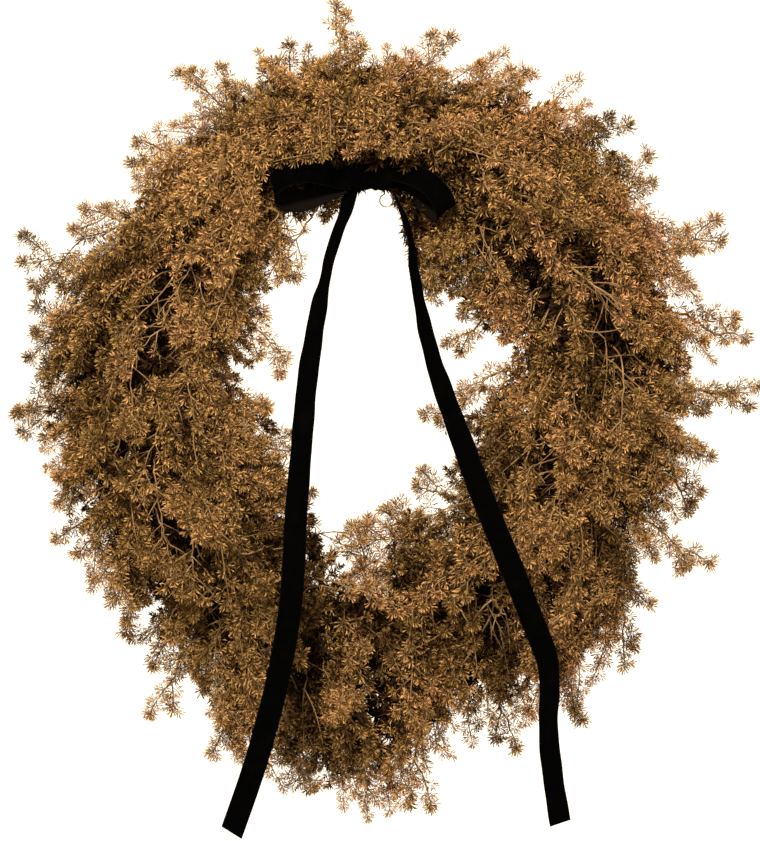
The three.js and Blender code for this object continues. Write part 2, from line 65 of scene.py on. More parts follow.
# The three ages of needled shoots: the young ones of the front and the fringe, the inner ones
# behind them, and the old dead ones round the ring. Shoot, length and width are the sizes of the
# shoot's stem and of its needles, widest is where along a needle its width is greatest, reach is
# how far a shoot may stand off its twig, and step is the distance between shoots.
SHOOTS = {
    "young": dict(needles=17, shoot=5, length=8.2, width=1.35, widest=0.76, reach=7, step=7),
    "inner": dict(needles=18, shoot=8, length=8, width=2.3, widest=0.2, reach=0, step=5.7),
    "old": dict(needles=13, shoot=11, length=12, width=4.2, widest=0.2, reach=0, step=8),
}
SHOOT_STEM = 0.6
SHOOT_FORMS = 12

# How far a shoot reaches from where it is set; in degrees, the turn from one needle to the next and
# how far the needles lean off the stem, at its foot and at its tip; and the least and the greatest
# share of its full length that a needle has.
SHOOT_REACH = 10.5
NEEDLE_TURN = 137.5
NEEDLE_LEAN = (80, 18)
NEEDLE_LENGTHS = (0.82, 1.14)

# A solid's own twigs: the distance between their shoots, how far down from the tip those go, and
# the least and the greatest height of the solid's needles.
OWN_STEP = 5.2
OWN_NEEDLED = 78
OWN_NEEDLE = (3.5, 17)

# A twig's radius at its tip, and how many corners fine twigs and stems have round them.
TWIG_TIP = 0.4
TWIG_SIDES = 3
STEM_SIDES = 4

# Long sprays that lie over the front: how many, how far in front of the ring's middle plane they
# start, how long they are and the radius of their butt, and the number and length of the side twigs
# of each.
SPRAYS = 64
SPRAY_START = 30
SPRAY_LENGTH = 104
SPRAY_BUTT = 1.1
SIDE_TWIGS = 7
SIDE_TWIG_LENGTH = 31

# The cut branches of the front: how many there are, how much their tones differ and how dark the
# darkest is, how much their ways differ, in radians, how far they stand out or in, and how wide their
# borders are. The top of the wreath is a little lighter, as painted light from above.
CLUMPS = 120
CLUMP_TONES = 0.15
DARKEST_CLUMP = -0.17
CLUMP_TURNS = 0.3
CLUMP_LIFT = 9
CLUMP_BORDER = 9
TOP_PAINTED_LIGHT = 0.08

# The lie of foliage: the share of the way across at which it turns from inward to outward, and how
# strongly; how far it leans down along the ring at the top and the bottom, and how much more at the
# sides; and how far it hangs.
LIE_TURN, LIE_OUTWARD = 0.42, 1.9
LIE_ALONG, LIE_ALONG_SIDES = 0.12, 0.62
LIE_HANG = 0.4

# Steps that spread places evenly, round a circle and over a surface.
EVEN_ROUND = 0.6180339887
EVEN_OVER = (0.7548776662, 0.5698402910)

# The share of the way across the foliage from which it is fringe.
FRINGE = 0.87

# How the plumes of each age cover the wreath: how many there are and how long; how far under the
# front they end, at least and at most, and how much further at a clump's border and in a hollow;
# the margins at the hole and outside, and how much they crowd there, where 1 is evenly spread; how
# far the outermost stand out, and how close their shoots are; the share at the back, the spread of
# their ways, the share left out at borders and in hollows, the tone of their colour, kept dark in the
# old and inner plumes as painted shade of the foliage's depths, how much of the clumps' own tones it
# takes up, and how much lighter it is at the rims, as painted light.
PLUMES = {
    "old": dict(count=1300, length=50, top=32, bottom=66, border=0, hollow=8, margins=(0.14, 0.16),
                crowd=1, ragged=0, fringe=1, back=0.15, spread=0.4, thin=0, tone=0.06,
                tone_swing=0.1, rim_light=0.2),
    "inner": dict(count=1240, length=48, top=10, bottom=46, border=8, hollow=36, margins=(0, 0.02),
                  crowd=0.64, ragged=8, fringe=0.8, back=0.3, spread=0.3, thin=0.65, tone=0.26,
                  tone_swing=0.6, rim_light=0.2),
    "young": dict(count=1840, length=52, top=0, bottom=30, border=13, hollow=44, margins=(0, 0),
                  crowd=0.8, ragged=36, fringe=0.55, back=0.08, spread=0.14, thin=0.92, tone=0.5,
                  tone_swing=1, rim_light=0),
}

# The edge of the thick foliage, by clock angle from the top: distance of the hole's side and of
# the outer side from the ring's centre, read as the outline of the photographed wreath.
EDGE = np.array([
    [0, 183, 321], [15, 106, 314], [30, 116, 335], [45, 114, 302], [60, 126, 307],
    [75, 138, 292], [90, 108, 296], [105, 82, 291], [120, 100, 270], [135, 90, 312],
    [150, 126, 326], [160, 105, 306], [170, 117, 320], [180, 154, 380], [190, 164, 369],
    [200, 140, 350], [210, 130, 308], [225, 106, 310], [240, 106, 297], [255, 102, 308],
    [270, 143, 318], [285, 124, 318], [300, 141, 296], [315, 152, 298], [330, 196, 312],
    [345, 177, 327], [360, 183, 321],
])

# How far the rounded front and back of the foliage stand from the ring's middle plane, where the
# wall begins to press it flat, and the share by which it does.
DOME_FRONT = 76
DOME_BACK = 12
BACK_FREE = 20
BACK_PRESSED = 0.8

# Dark hollows between the bunches of the front: x and z of the middle, half the length and half
# the width, and how far the lower end leans to the right, in degrees.
HOLLOWS = [
    [216, -132, 104, 22, 15], [160, -104, 57, 18, 38], [158, -267, 50, 15, 4],
    [108, -395, 60, 12, 8], [-62, -452, 50, 11, -5], [-156, -401, 42, 15, 3],
    [-197, -320, 64, 20, 45], [-213, -128, 92, 20, -17], [-236, -243, 30, 11, -52],
    [-168, -86, 28, 9, -16], [2, -506, 32, 10, -7], [96, -42, 44, 13, 12],
]

# How fast a hollow deepens inward from its edge, and the y in front of which its twigs are left bare.
HOLLOW_WALL = 1.6
HOLLOW_FRONT = -18

# Where foliage keeps clear: the wedge between the tails, under the knot; beside and behind the
# tails; and the boxes behind the bow and the knot, each with its middle and half its width in x,
# its bottom and top in z, and the y that foliage stays behind.
WEDGE_TOP, WEDGE_BOTTOM = 0, -140
BESIDE_TAIL, BEHIND_TAIL = 10, 13
BEHIND_BOW = [(-12, 104, -44, 26, -22), (-9, 34, -6, 32, -11)]

# The ribbon's tails: x, y and z of the ribbon's middle, its turn from facing the front in
# degrees, and the share of its width that shows unfolded.
LEFT_TAIL = np.array([
    [-27, -30, 1.2, -25, 0.62], [-31.5, -35, -18, -46, 0.85], [-38, -41, -36, -56, 1],
    [-44.5, -46.5, -54, -61, 1], [-49.5, -52, -74, -62, 1], [-53.5, -56.5, -91, -57, 1],
    [-57, -60.5, -108, -46, 1], [-62.4, -67, -142, -35, 1], [-68.1, -73, -180, -28, 1],
    [-72, -78, -220, -25, 1], [-75.5, -84, -266, -21, 1], [-79, -90, -312, -13, 1],
    [-81, -96, -354, -4, 1], [-85, -99, -400, 0, 1], [-95, -99, -457, 0, 1],
    [-109, -97, -513, 0, 1], [-122, -95, -555.5, 0, 1], [-139.4, -91, -605.2, 0, 1],
])
RIGHT_TAIL = np.array([
    [12, -30, 1.6, 82, 0.62], [19.5, -37, -17, 78, 0.9], [25, -42, -34, 74, 1],
    [29.2, -47, -53, 71, 1], [32, -51, -80, 66, 1], [40.8, -58, -123.7, 53, 1],
    [50.2, -66, -161.2, 41, 1], [62.4, -73, -198.8, 28, 1], [76.5, -80.5, -236.3, 16, 1],
    [90.1, -87, -273.9, 10, 1], [106, -93, -314, 5, 1], [124.4, -98, -358.3, 0, 1],
    [140, -100, -398, 0, 1], [150.5, -101, -424, -6, 1], [157, -101, -443, -20, 1],
    [159.6, -100, -466, -36, 1], [158.3, -100, -499, -37, 1], [159.5, -100, -527, -33, 1],
    [163.5, -99, -560, -29, 1], [169.4, -96, -595.8, -26, 1],
])

# How many points the ribbon has across it, along a tail and along a loop.
RIBBON_COLUMNS = 12
TAIL_ROWS = 170
LOOP_ROWS = 64

# How far a cut end slants to either side, how deep the ribbon is cupped, and the stretch near its
# ends where it lies flatter. Of its ripples, each has its height, its length for one radian, and the
# power of the place across the ribbon that it grows with.
CUT_SLANT = 2.5
RIBBON_CUP = 0.7
END_STRETCH = 12
RIPPLES = [(0.45, 9, 1), (0.3, 5.3, 2), (0.35, 23, 0)]

# The knot is a rounded bar from left to right; the loops leave its ends.
KNOT_LEFT, KNOT_RIGHT = -36, 18
KNOT_BOTTOM, KNOT_HEIGHT = 1, 24
KNOT_BACK, KNOT_DEPTH = -19.5, 17
KNOT_PROFILE = np.array([[0, 0.62], [0.14, 0.9], [0.38, 1], [0.5, 0.9], [0.62, 1], [0.86, 0.9],
                         [1, 0.62]])

# A loop runs out from its start, opens and comes back, and both its ends are shifted apart. Back is
# the side that the ribbon's woven back is on.
LOOP_SWELL = 0.62
LOOP_END_SHIFT = 2.2
LEFT_LOOP = dict(start=(KNOT_LEFT + 3, -34, 10), length_way=(-1, -0.24, -0.14),
                 opening_way=(0, -0.62, 0.78), width_way=(-0.1, 0.3, 0.95), rise_way=(0, 0, 1),
                 length=70, opening=35, rise=0, back=-1)
RIGHT_LOOP = dict(start=(KNOT_RIGHT - 3, -34, 19), length_way=(0.75, -0.2, -0.63),
                  opening_way=(0.25, -0.9, 0.36), width_way=(0.77, 0, 0.64), rise_way=(0.64, 0, 0.77),
                  length=62, opening=28, rise=5, back=1)

# The wire goes round the ring at one clock angle and ends in an eye under the knot.
WIRE_RADIUS = 0.6
TIE_CLOCK, TIE_FROM, TIE_TURN = 1.2, 98, 285
EYE_CENTRE = np.array([6, -19.5, -8])
EYE_RADIUS, EYE_FROM, EYE_TURN, EYE_DRIFT = 6.2, 128, 288, -2

DOWN = np.array([0.0, 0.0, -1.0])
FRONT = np.array([0.0, -1.0, 0.0])


# Camera, light and backdrop

CAMERA_DISTANCE = 4500
PIXEL = 0.95
FRAME_PIXELS = (760, 841)
SENSOR = 36
VIEW_CENTRE = (0, -40, -218)

FLOOR_HEIGHT = -960
FLOOR_RADIUS = 850
FLOOR_SIDES = 96

# The studio's own light is soft all round, a little stronger from above, and white behind the
# wreath as the camera sees it, between two limits of the y of its direction.
STUDIO_COLOUR = "#FFF2E0"
STUDIO_LIGHT = 0.43
SKY_LIFT = 0.28
WHITE_LIGHT = 1.5
WHITE_FROM, WHITE_TO = 0.94, 0.985

# Each lamp's place and width in metres, with its power in watts.
LAMP_COLOUR = "#FFF4E4"
LAMPS = {
    "key": dict(place=(-0.5, -1.65, 1.0), power=58, size=0.35),
    "fill": dict(place=(1.8, -2.0, 0.3), power=8, size=1.4),
    "back": dict(place=(1.2, 2.2, 1.9), power=34, size=1.2),
}


def make_camera():
    data = bpy.data.cameras.new("camera")
    data.sensor_width = SENSOR
    data.lens = SENSOR * CAMERA_DISTANCE / (FRAME_PIXELS[1] * PIXEL)
    data.clip_end = 100
    camera = bpy.data.objects.new("camera", data)
    camera.location = Vector(VIEW_CENTRE) * MM + Vector((0, -CAMERA_DISTANCE * MM, 0))
    camera.rotation_euler = (math.pi / 2, 0, 0)
    bpy.context.scene.collection.objects.link(camera)
    bpy.context.scene.camera = camera


make_camera()


# Meshes

def mesh_piece(name, points, faces, materials, slots=None, marks=None):
    """A smooth mesh object from arrays, in metres: faces are rows of 3 or of 4 corners.

    Slots are the faces' materials, and marks are named values of the points.
    """
    sides = faces.shape[1]
    mesh = bpy.data.meshes.new(name)
    mesh.vertices.add(len(points))
    mesh.vertices.foreach_set("co", np.asarray(points, np.float32).ravel())
    mesh.loops.add(faces.size)
    mesh.loops.foreach_set("vertex_index", faces.astype(np.int32).ravel())
    mesh.polygons.add(len(faces))
    mesh.polygons.foreach_set("loop_start", np.arange(0, faces.size, sides, dtype=np.int32))
    mesh.polygons.foreach_set("use_smooth", np.full(len(faces), True))
    for material in materials:
        mesh.materials.append(material)
    if slots is not None:
        mesh.polygons.foreach_set("material_index", slots.astype(np.int32))
    for mark, values in (marks or {}).items():
        layer = mesh.attributes.new(mark, "FLOAT", "POINT")
        layer.data.foreach_set("value", values.astype(np.float32))
    mesh.update(calc_edges=True)
    piece = bpy.data.objects.new(name, mesh)
    bpy.context.scene.collection.objects.link(piece)
    return piece


def fit_to_node(piece, node):
    """The piece rides on the wreath's one body, in the place of a solid, which is hidden."""
    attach(piece, "root")
    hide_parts(node)


def unit(vectors):
    return vectors / np.maximum(np.linalg.norm(vectors, axis=-1, keepdims=True), 1e-12)


def axes_along(path):
    """Directions along and across each point of a path, turning with it as little as they can."""
    along = unit(np.gradient(path, axis=0))
    side = np.cross(along[0], DOWN if abs(along[0][2]) < 0.9 else FRONT)
    sides = []
    for way in along:
        side = unit(side - way * (side @ way))
        sides.append(side)
    sides = np.array(sides)
    return along, sides, np.cross(along, sides)


def lengths_along(path):
    return np.r_[0, np.cumsum(np.linalg.norm(np.diff(path, axis=0), axis=1))]


def angles_round(sides):
    return 2 * math.pi * np.arange(sides) / sides


def tube_faces(rings, sides, closed=False):
    """Four-cornered faces between rings of corners that follow each other."""
    count = rings if closed else rings - 1
    ring, corner = np.meshgrid(np.arange(count), np.arange(sides), indexing="ij")
    after = (ring + 1) % rings
    turn = (corner + 1) % sides
    quads = np.stack([ring * sides + corner, ring * sides + turn,
                      after * sides + turn, after * sides + corner], axis=-1)
    return quads.reshape(-1, 4)


def halved(quads):
    """Each four-cornered face as two triangles."""
    return np.vstack([quads[:, [0, 1, 2]], quads[:, [0, 2, 3]]])


def corners_round(path, side, up, radii, sides):
    """Rings of corners round a path, where side and up are the two ways across it."""
    angle = angles_round(sides)
    ring = side[:, None] * np.cos(angle)[None, :, None] + up[:, None] * np.sin(angle)[None, :, None]
    return (path[:, None] + ring * radii[..., None]).reshape(-1, 3)


def tube_points(path, radii, sides):
    _, side, up = axes_along(path)
    return corners_round(path, side, up, radii[:, None], sides)


def smooth_curve(points, count):
    """Points along a curve that passes smoothly through the given ones, column by column."""
    points = np.asarray(points, float)
    rows = len(points)
    padded = np.vstack([2 * points[0] - points[1], points, 2 * points[-1] - points[-2]])
    place = np.linspace(0, rows - 1, count)
    i = np.minimum(place.astype(int), rows - 2)
    t = (place - i)[:, None]
    a, b, c, d = (padded[i + k] for k in range(4))
    return 0.5 * (2 * b + (c - a) * t + (2 * a - 5 * b + 4 * c - d) * t ** 2
                  + (3 * b - a - 3 * c + d) * t ** 3)


# Materials

def linear(hex_colour):
    """The linear colour, with alpha, of an sRGB hex colour."""
    shares = [int(hex_colour[i:i + 2], 16) / 255 for i in (1, 3, 5)]
    return [s / 12.92 if s <= 0.04045 else ((s + 0.055) / 1.055) ** 2.4 for s in shares] + [1.0]


def add(tree, kind, settings=(), **links):
    """Adds a node with its settings, and links its inputs: a link is a node, or a socket.

    An input is named, or has its number, which follows _ where it is linked.
    """
    node = tree.nodes.new(kind)
    for key, value in dict(settings).items():
        if isinstance(key, int) or key in node.inputs:
            node.inputs[key].default_value = value
        else:
            setattr(node, key, value)
    for key, source in links.items():
        socket = source.outputs[0] if hasattr(source, "outputs") else source
        wanted = key.replace("_", " ")
        tree.links.new(socket, node.inputs[int(key[1:]) if key[1:].isdigit() else wanted])
    return node


def new_material(name, finish):
    """A material whose shader starts with the finish: values of its own inputs, by their names."""
    material = bpy.data.materials.new(name)
    material.use_nodes = True
    tree = material.node_tree
    tree.nodes.clear()
    shader = add(tree, "ShaderNodeBsdfPrincipled", finish)
    add(tree, "ShaderNodeOutputMaterial", Surface=shader)
    return material, tree, shader


def colour_steps(ramp_node, steps):
    ramp = ramp_node.color_ramp
    while len(ramp.elements) < len(steps):
        ramp.elements.new(0.5)
    for element, (place, colour) in zip(ramp.elements, steps):
        element.position = place
        element.color = linear(colour)


def noise_of(tree, size, detail):
    """Soft irregular patches of about the given size, in millimetres."""
    place = add(tree, "ShaderNodeTexCoord")
    return add(tree, "ShaderNodeTexNoise", {"Scale": 1 / (size * MM), "Detail": detail},
               Vector=place.outputs["Object"])


def dried_needles():
    """Dried cypress needles: matt, from dark brown through khaki and gold to rust, with pale tips and
    painted shade at their feet.
    """
    finish = {"Roughness": 0.8, "Specular IOR Level": 0.12, "IOR": 1.45}
    material, tree, shader = new_material("dried_cypress_needles", finish)
    tone = add(tree, "ShaderNodeAttribute", {"attribute_name": "tone"})
    reach = add(tree, "ShaderNodeAttribute", {"attribute_name": "reach"})
    patches = noise_of(tree, 40, 3.0)
    lifted = add(tree, "ShaderNodeMath", {"operation": "MULTIPLY_ADD", 1: 0.4}, _0=patches,
                 _2=tone.outputs["Fac"])
    shifted = add(tree, "ShaderNodeMath", {"operation": "SUBTRACT", 1: 0.2, "use_clamp": True},
                  _0=lifted)
    # A needle's foot is dark, as painted shade of the inside of its shoot; the lowest tones, near
    # black, are painted shade of the foliage's depths and hollows.
    foot = add(tree, "ShaderNodeValToRGB", Fac=shifted)
    colour_steps(foot, [(0.0, "#170B03"), (0.2, "#261607"), (0.36, "#37240D"), (0.56, "#442B12"),
                        (0.85, "#4F3018")])
    # A needle's tip is pale, partly its own colour and partly painted light.
    tip = add(tree, "ShaderNodeValToRGB", Fac=shifted)
    colour_steps(tip, [(0.0, "#39230B"), (0.2, "#896735"), (0.36, "#CBA05E"), (0.56, "#E7B471"),
                       (0.85, "#EFB279")])
    shaded_foot_to_tip = add(tree, "ShaderNodeMapRange", {"From Min": 0.1, "From Max": 0.85},
               Value=reach.outputs["Fac"])
    colour = add(tree, "ShaderNodeMix", {"data_type": "RGBA"}, _0=shaded_foot_to_tip, _6=foot, _7=tip)
    tree.links.new(colour.outputs[2], shader.inputs["Base Color"])
    return material


def smooth_twigs():
    """Young cypress twigs: smooth thin bark, khaki to light tan, a little shinier than needles."""
    finish = {"Roughness": 0.5, "IOR": 1.5}
    material, tree, shader = new_material("smooth_cypress_twigs", finish)
    ramp = add(tree, "ShaderNodeValToRGB", Fac=noise_of(tree, 18, 3.0))
    colour_steps(ramp, [(0.3, "#6F5330"), (0.5, "#957344"), (0.7, "#B2905F")])
    tree.links.new(ramp.outputs[0], shader.inputs["Base Color"])
    return material


def vine_bark():
    """Grapevine bark: dry, dark brown and stringy, with its fibres along the strand."""
    material, tree, shader = new_material("grapevine_bark", {"Roughness": 0.85})
    along = add(tree, "ShaderNodeAttribute", {"attribute_name": "along"})
    around = add(tree, "ShaderNodeAttribute", {"attribute_name": "around"})
    fibre_way = add(tree, "ShaderNodeCombineXYZ", X=along.outputs["Fac"], Y=around.outputs["Fac"])
    fibres = add(tree, "ShaderNodeTexNoise", {"Scale": 1.0, "Detail": 6.0, "Roughness": 0.6},
                 Vector=fibre_way)
    ramp = add(tree, "ShaderNodeValToRGB", Fac=fibres)
    colour_steps(ramp, [(0.3, "#241811"), (0.5, "#4A3526"), (0.68, "#7B6048")])
    bump = add(tree, "ShaderNodeBump", {"Strength": 0.6, "Distance": 0.6 * MM}, Height=fibres)
    tree.links.new(ramp.outputs[0], shader.inputs["Base Color"])
    tree.links.new(bump.outputs[0], shader.inputs["Normal"])
    return material


def black_velvet():
    """Black velvet ribbon: a short matt pile that drinks the light, and greyer woven edge and back.

    The pile is drawn coarser than it is, so that it shows.
    """
    finish = {"Roughness": 0.95, "Specular IOR Level": 0.02, "Sheen Weight": 0.004,
              "Sheen Roughness": 0.35, "Sheen Tint": linear("#B8A79A")}
    material, tree, shader = new_material("black_velvet", finish)
    across = add(tree, "ShaderNodeAttribute", {"attribute_name": "across"})
    ramp = add(tree, "ShaderNodeValToRGB", Fac=noise_of(tree, 14, 3.0))
    colour_steps(ramp, [(0.3, "#010101"), (0.55, "#020202"), (0.75, "#050404")])
    side = add(tree, "ShaderNodeMath", {"operation": "ABSOLUTE"}, _0=across.outputs["Fac"])
    woven = add(tree, "ShaderNodeMath", {"operation": "GREATER_THAN", 1: 0.93}, _0=side)
    edged = add(tree, "ShaderNodeMix", {"data_type": "RGBA", 7: linear("#0B0A09")}, _0=woven, _6=ramp)
    backing = add(tree, "ShaderNodeAttribute", {"attribute_name": "backing"})
    colour = add(tree, "ShaderNodeMix", {"data_type": "RGBA", 7: linear("#110E0C")},
                 _0=backing.outputs["Fac"], _6=edged.outputs[2])
    bump = add(tree, "ShaderNodeBump", {"Strength": 0.55, "Distance": 0.35 * MM},
               Height=noise_of(tree, 0.7, 4.0))
    tree.links.new(colour.outputs[2], shader.inputs["Base Color"])
    tree.links.new(bump.outputs[0], shader.inputs["Normal"])
    return material


def drawn_wire():
    """Thin drawn steel wire: grey, with soft streaked reflections."""
    finish = {"Metallic": 1.0, "Roughness": 0.38}
    material, tree, shader = new_material("drawn_steel_wire", finish)
    ramp = add(tree, "ShaderNodeValToRGB", Fac=noise_of(tree, 2, 2.0))
    colour_steps(ramp, [(0.3, "#6E6B68"), (0.7, "#96928E")])
    tree.links.new(ramp.outputs[0], shader.inputs["Base Color"])
    return material


# Places on the ring

def radial(clock):
    """The way outward from the ring's centre, at a clock angle in degrees from the top."""
    angle = np.radians(clock)
    return np.stack([np.sin(angle), np.zeros_like(angle), np.cos(angle)], axis=-1)


def clockwise(clock):
    """The way along the ring, clockwise as seen from the front."""
    angle = np.radians(clock)
    return np.stack([np.cos(angle), np.zeros_like(angle), -np.sin(angle)], axis=-1)


RING_CENTRE = np.array([0.0, 0.0, RING_HEIGHT])


def on_tube(clock, tube_angle, distance):
    """Places round the ring's tube: the tube's angle goes from outward to the front, in degrees."""
    turn = np.radians(tube_angle)[..., None]
    out = radial(clock)
    return (RING_CENTRE + out * RING_RADIUS
            + (out * np.cos(turn) + FRONT * np.sin(turn)) * np.asarray(distance)[..., None])


def clock_of(points):
    return np.degrees(np.arctan2(points[..., 0], points[..., 2] - RING_HEIGHT)) % 360


# Vine

def make_vines(bark):
    """The ring's twisted strands, ridged along their fibres and swollen at their old leaf nodes."""
    steps, sides = 200, 12
    angle = angles_round(sides)
    for strand in range(STRANDS):
        random = np.random.default_rng(40 + strand)
        clock = np.arange(steps) * 360 / steps
        path = on_tube(clock, TWISTS * clock + strand * 360 / STRANDS, np.full(steps, STRAND_OFFSET))
        along = unit(np.roll(path, -1, axis=0) - np.roll(path, 1, axis=0))
        out = unit(path - (RING_CENTRE + radial(clock) * RING_RADIUS))
        out = unit(out - along * (out * along).sum(1, keepdims=True))
        up = np.cross(along, out)
        ridges = sum(height * np.sin(count * angle + np.radians(clock)[:, None] * twist)
                     for height, count, twist in BARK_RIDGES)
        swell = sum(NODE_SWELL * np.exp(-((clock - at + 180) % 360 - 180) ** 2 / NODE_SPREAD)
                    for at in random.uniform(0, 360, LEAF_NODES))
        rough = random.normal(0, BARK_ROUGH, (steps, sides))
        radius = STRAND_RADIUS - BARK_DEPTH + ridges + swell[:, None] + rough
        points = corners_round(path, out, up, radius, sides)
        distance = np.repeat(np.radians(clock) * RING_RADIUS / FIBRE_LENGTH, sides)
        turn = np.tile(angle * STRAND_RADIUS / FIBRE_WIDTH, steps)
        piece = mesh_piece(f"grapevine_strand_{strand + 1}", points * MM,
                           tube_faces(steps, sides, closed=True), [bark],
                           marks={"along": distance, "around": turn})
        fit_to_node(piece, f"vine_strand_{strand + 1}")


# Bow

def ribbon_mesh(name, middle, ways, shares, velvet, seed, back, cut=0.0):
    """A velvet ribbon along a path: its width lies along ways, and it is a little cupped and rippled.

    Shares is how much of its width shows unfolded, back is the side of the path, 1 or -1, that its
    woven back is on, and cut is how far its far end is cut off aslant, to either side.
    """
    random = np.random.default_rng(seed)
    rows, columns = len(middle), RIBBON_COLUMNS
    run = lengths_along(middle)
    along = unit(np.gradient(middle, axis=0))
    ways = unit(ways - along * (ways * along).sum(1, keepdims=True))
    face = np.cross(ways, along)
    spread = np.linspace(-1, 1, columns)
    phases = random.uniform(0, 2 * math.pi, len(RIPPLES))
    ripple = sum(height * np.sin(run / length + phase)[:, None] * spread ** power
                 for (height, length, power), phase in zip(RIPPLES, phases))
    settle = np.minimum(1, np.minimum(run, run[-1] - run + END_STRETCH / 2) / END_STRETCH)[:, None]
    lift = (ripple - RIBBON_CUP * spread ** 2) * settle
    pile = RIBBON_THICK / 2 * (1 - 0.5 * spread ** 10)
    half = RIBBON_WIDTH / 2 * shares[:, None] * spread
    near_end = np.clip(1 - (run[-1] - run) / END_STRETCH, 0, 1)[:, None]
    slant = cut * spread * near_end
    sides = [middle[:, None] + ways[:, None] * half[..., None] + along[:, None] * slant[..., None]
             + face[:, None] * (lift + way * pile)[..., None] for way in (1, -1)]
    points = np.concatenate([sides[0], sides[1][:, ::-1]], axis=1).reshape(-1, 3)
    faces = tube_faces(rows, 2 * columns)
    column = np.arange(columns - 1)
    cap = np.stack([column, column + 1, 2 * columns - 2 - column, 2 * columns - 1 - column], axis=-1)
    faces = np.vstack([faces, cap[:, ::-1], cap + (rows - 1) * 2 * columns])
    marks = {"across": np.tile(np.r_[spread, spread[::-1]], rows),
             "backing": np.tile(np.repeat([back, -back], columns), rows)}
    return mesh_piece(name, points * MM, faces, [velvet], marks=marks), run[-1]


def make_tail(name, node, stations, velvet, seed, cut):
    """One of the bow's tails: it hangs from the knot, turning about its own length."""
    rows = smooth_curve(stations, TAIL_ROWS)
    place, mark = np.linspace(0, 1, TAIL_ROWS), np.linspace(0, 1, len(stations))
    turn = np.radians(np.interp(place, mark, stations[:, 3]))
    shares = np.interp(place, mark, stations[:, 4])
    ways = np.stack([np.cos(turn), np.sin(turn), np.zeros(TAIL_ROWS)], axis=-1)
    piece, length = ribbon_mesh(name, rows[:, :3], ways, shares, velvet, seed, 1, cut)
    fit_to_node(piece, node)


def make_loop(name, node, loop, velvet, seed):
    """One of the bow's loops: a teardrop that leaves the knot, turns round and comes back."""
    way = {key: unit(np.array(loop[f"{key}_way"], float))
           for key in ("length", "opening", "width", "rise")}
    turn = np.linspace(0, 2 * math.pi, LOOP_ROWS)
    out = loop["length"] / 2 * (1 - np.cos(turn))
    aside = LOOP_SWELL * loop["opening"] * np.sin(turn) * np.sin(turn / 2)
    near_knot = np.clip(1 - np.minimum(turn, 2 * math.pi - turn) / 0.7, 0, 1)
    shift = LOOP_END_SHIFT * near_knot * np.sign(math.pi - turn)
    rise = loop["rise"] * np.sin(math.pi * out / loop["length"])
    middle = (np.array(loop["start"], float) + way["length"] * out[:, None]
              + way["opening"] * (aside + shift)[:, None] + way["rise"] * rise[:, None])
    ways = np.tile(way["width"], (LOOP_ROWS, 1))
    piece, length = ribbon_mesh(name, middle, ways, np.ones(LOOP_ROWS), velvet, seed, loop["back"])
    fit_to_node(piece, node)


def make_knot(velvet):
    """The knot: a gathered roll of ribbon, its folds running round it."""
    rings, sides = 66, 44
    share = np.linspace(0, 1, rings)
    girth = smooth_curve(KNOT_PROFILE, rings)[:, 1]
    x = KNOT_LEFT + (KNOT_RIGHT - KNOT_LEFT) * share
    angle = angles_round(sides)
    gather = (0.035 * np.sin(x[:, None] / 1.35 + 1.3 * np.sin(angle)[None])
              + 0.02 * np.sin(x[:, None] / 0.9 + 2.1 * np.cos(angle)[None]))
    reach = girth[:, None] * (1.0 + gather)
    squareness = (np.abs(np.cos(angle)) ** 3 + np.abs(np.sin(angle)) ** 3) ** (-1 / 3)
    y = KNOT_BACK - KNOT_DEPTH / 2 + reach * KNOT_DEPTH / 2 * squareness * np.cos(angle)
    z = KNOT_BOTTOM + KNOT_HEIGHT / 2 + reach * KNOT_HEIGHT / 2 * squareness * np.sin(angle)
    points = np.stack([np.broadcast_to(x[:, None], y.shape), y, z], axis=-1).reshape(-1, 3)
    ends = np.array([[x[0], y[0].mean(), z[0].mean()], [x[-1], y[-1].mean(), z[-1].mean()]])
    corner = np.arange(sides)
    after = (corner + 1) % sides
    first, last = len(points), len(points) + 1
    start = (rings - 1) * sides
    faces = np.vstack([halved(tube_faces(rings, sides)),
                       np.stack([np.full(sides, first), after, corner], axis=-1),
                       np.stack([np.full(sides, last), start + corner, start + after], axis=-1)])
    marks = {"across": np.zeros(len(points) + 2), "backing": np.full(len(points) + 2, -1.0)}
    piece = mesh_piece("bow_knot_velvet", np.vstack([points, ends]) * MM, faces, [velvet], marks=marks)
    fit_to_node(piece, "bow_knot")


def make_wire(steel):
    """The tie wire: round the ring behind the knot, with its end left hanging in a small eye."""
    tie_steps, eye_steps, steps, sides = 48, 30, 200, 8
    turns = np.linspace(TIE_FROM, TIE_FROM - TIE_TURN, tie_steps)
    distance = np.full(tie_steps, RING_TUBE + 2 * WIRE_RADIUS)
    tie = on_tube(np.full(tie_steps, TIE_CLOCK), turns, distance)
    share = np.linspace(0, 1, eye_steps)
    angle = np.radians(EYE_FROM + EYE_TURN * share)
    eye = EYE_CENTRE + np.stack([EYE_RADIUS * np.cos(angle), EYE_DRIFT * share,
                                 EYE_RADIUS * np.sin(angle)], axis=-1)
    path = smooth_curve(np.vstack([tie, eye]), steps)
    radii = np.full(steps, WIRE_RADIUS)
    radii[[0, -1]] = WIRE_RADIUS * 0.3
    points = tube_points(path, radii, sides) * MM
    piece = mesh_piece("bow_tie_wire", points, tube_faces(steps, sides), [steel])
    fit_to_node(piece, "bow_wire")


def make_bow(velvet, steel):
    make_tail("velvet_tail_left", "ribbon_tail_left", LEFT_TAIL, velvet, 11, CUT_SLANT)
    make_tail("velvet_tail_right", "ribbon_tail_right", RIGHT_TAIL, velvet, 12, -CUT_SLANT)
    make_loop("velvet_loop_left", "bow_loop_left", LEFT_LOOP, velvet, 13)
    make_loop("velvet_loop_right", "bow_loop_right", RIGHT_LOOP, velvet, 14)
    make_knot(velvet)
    make_wire(steel)


# Foliage: the tree of each bunch, read from its solid

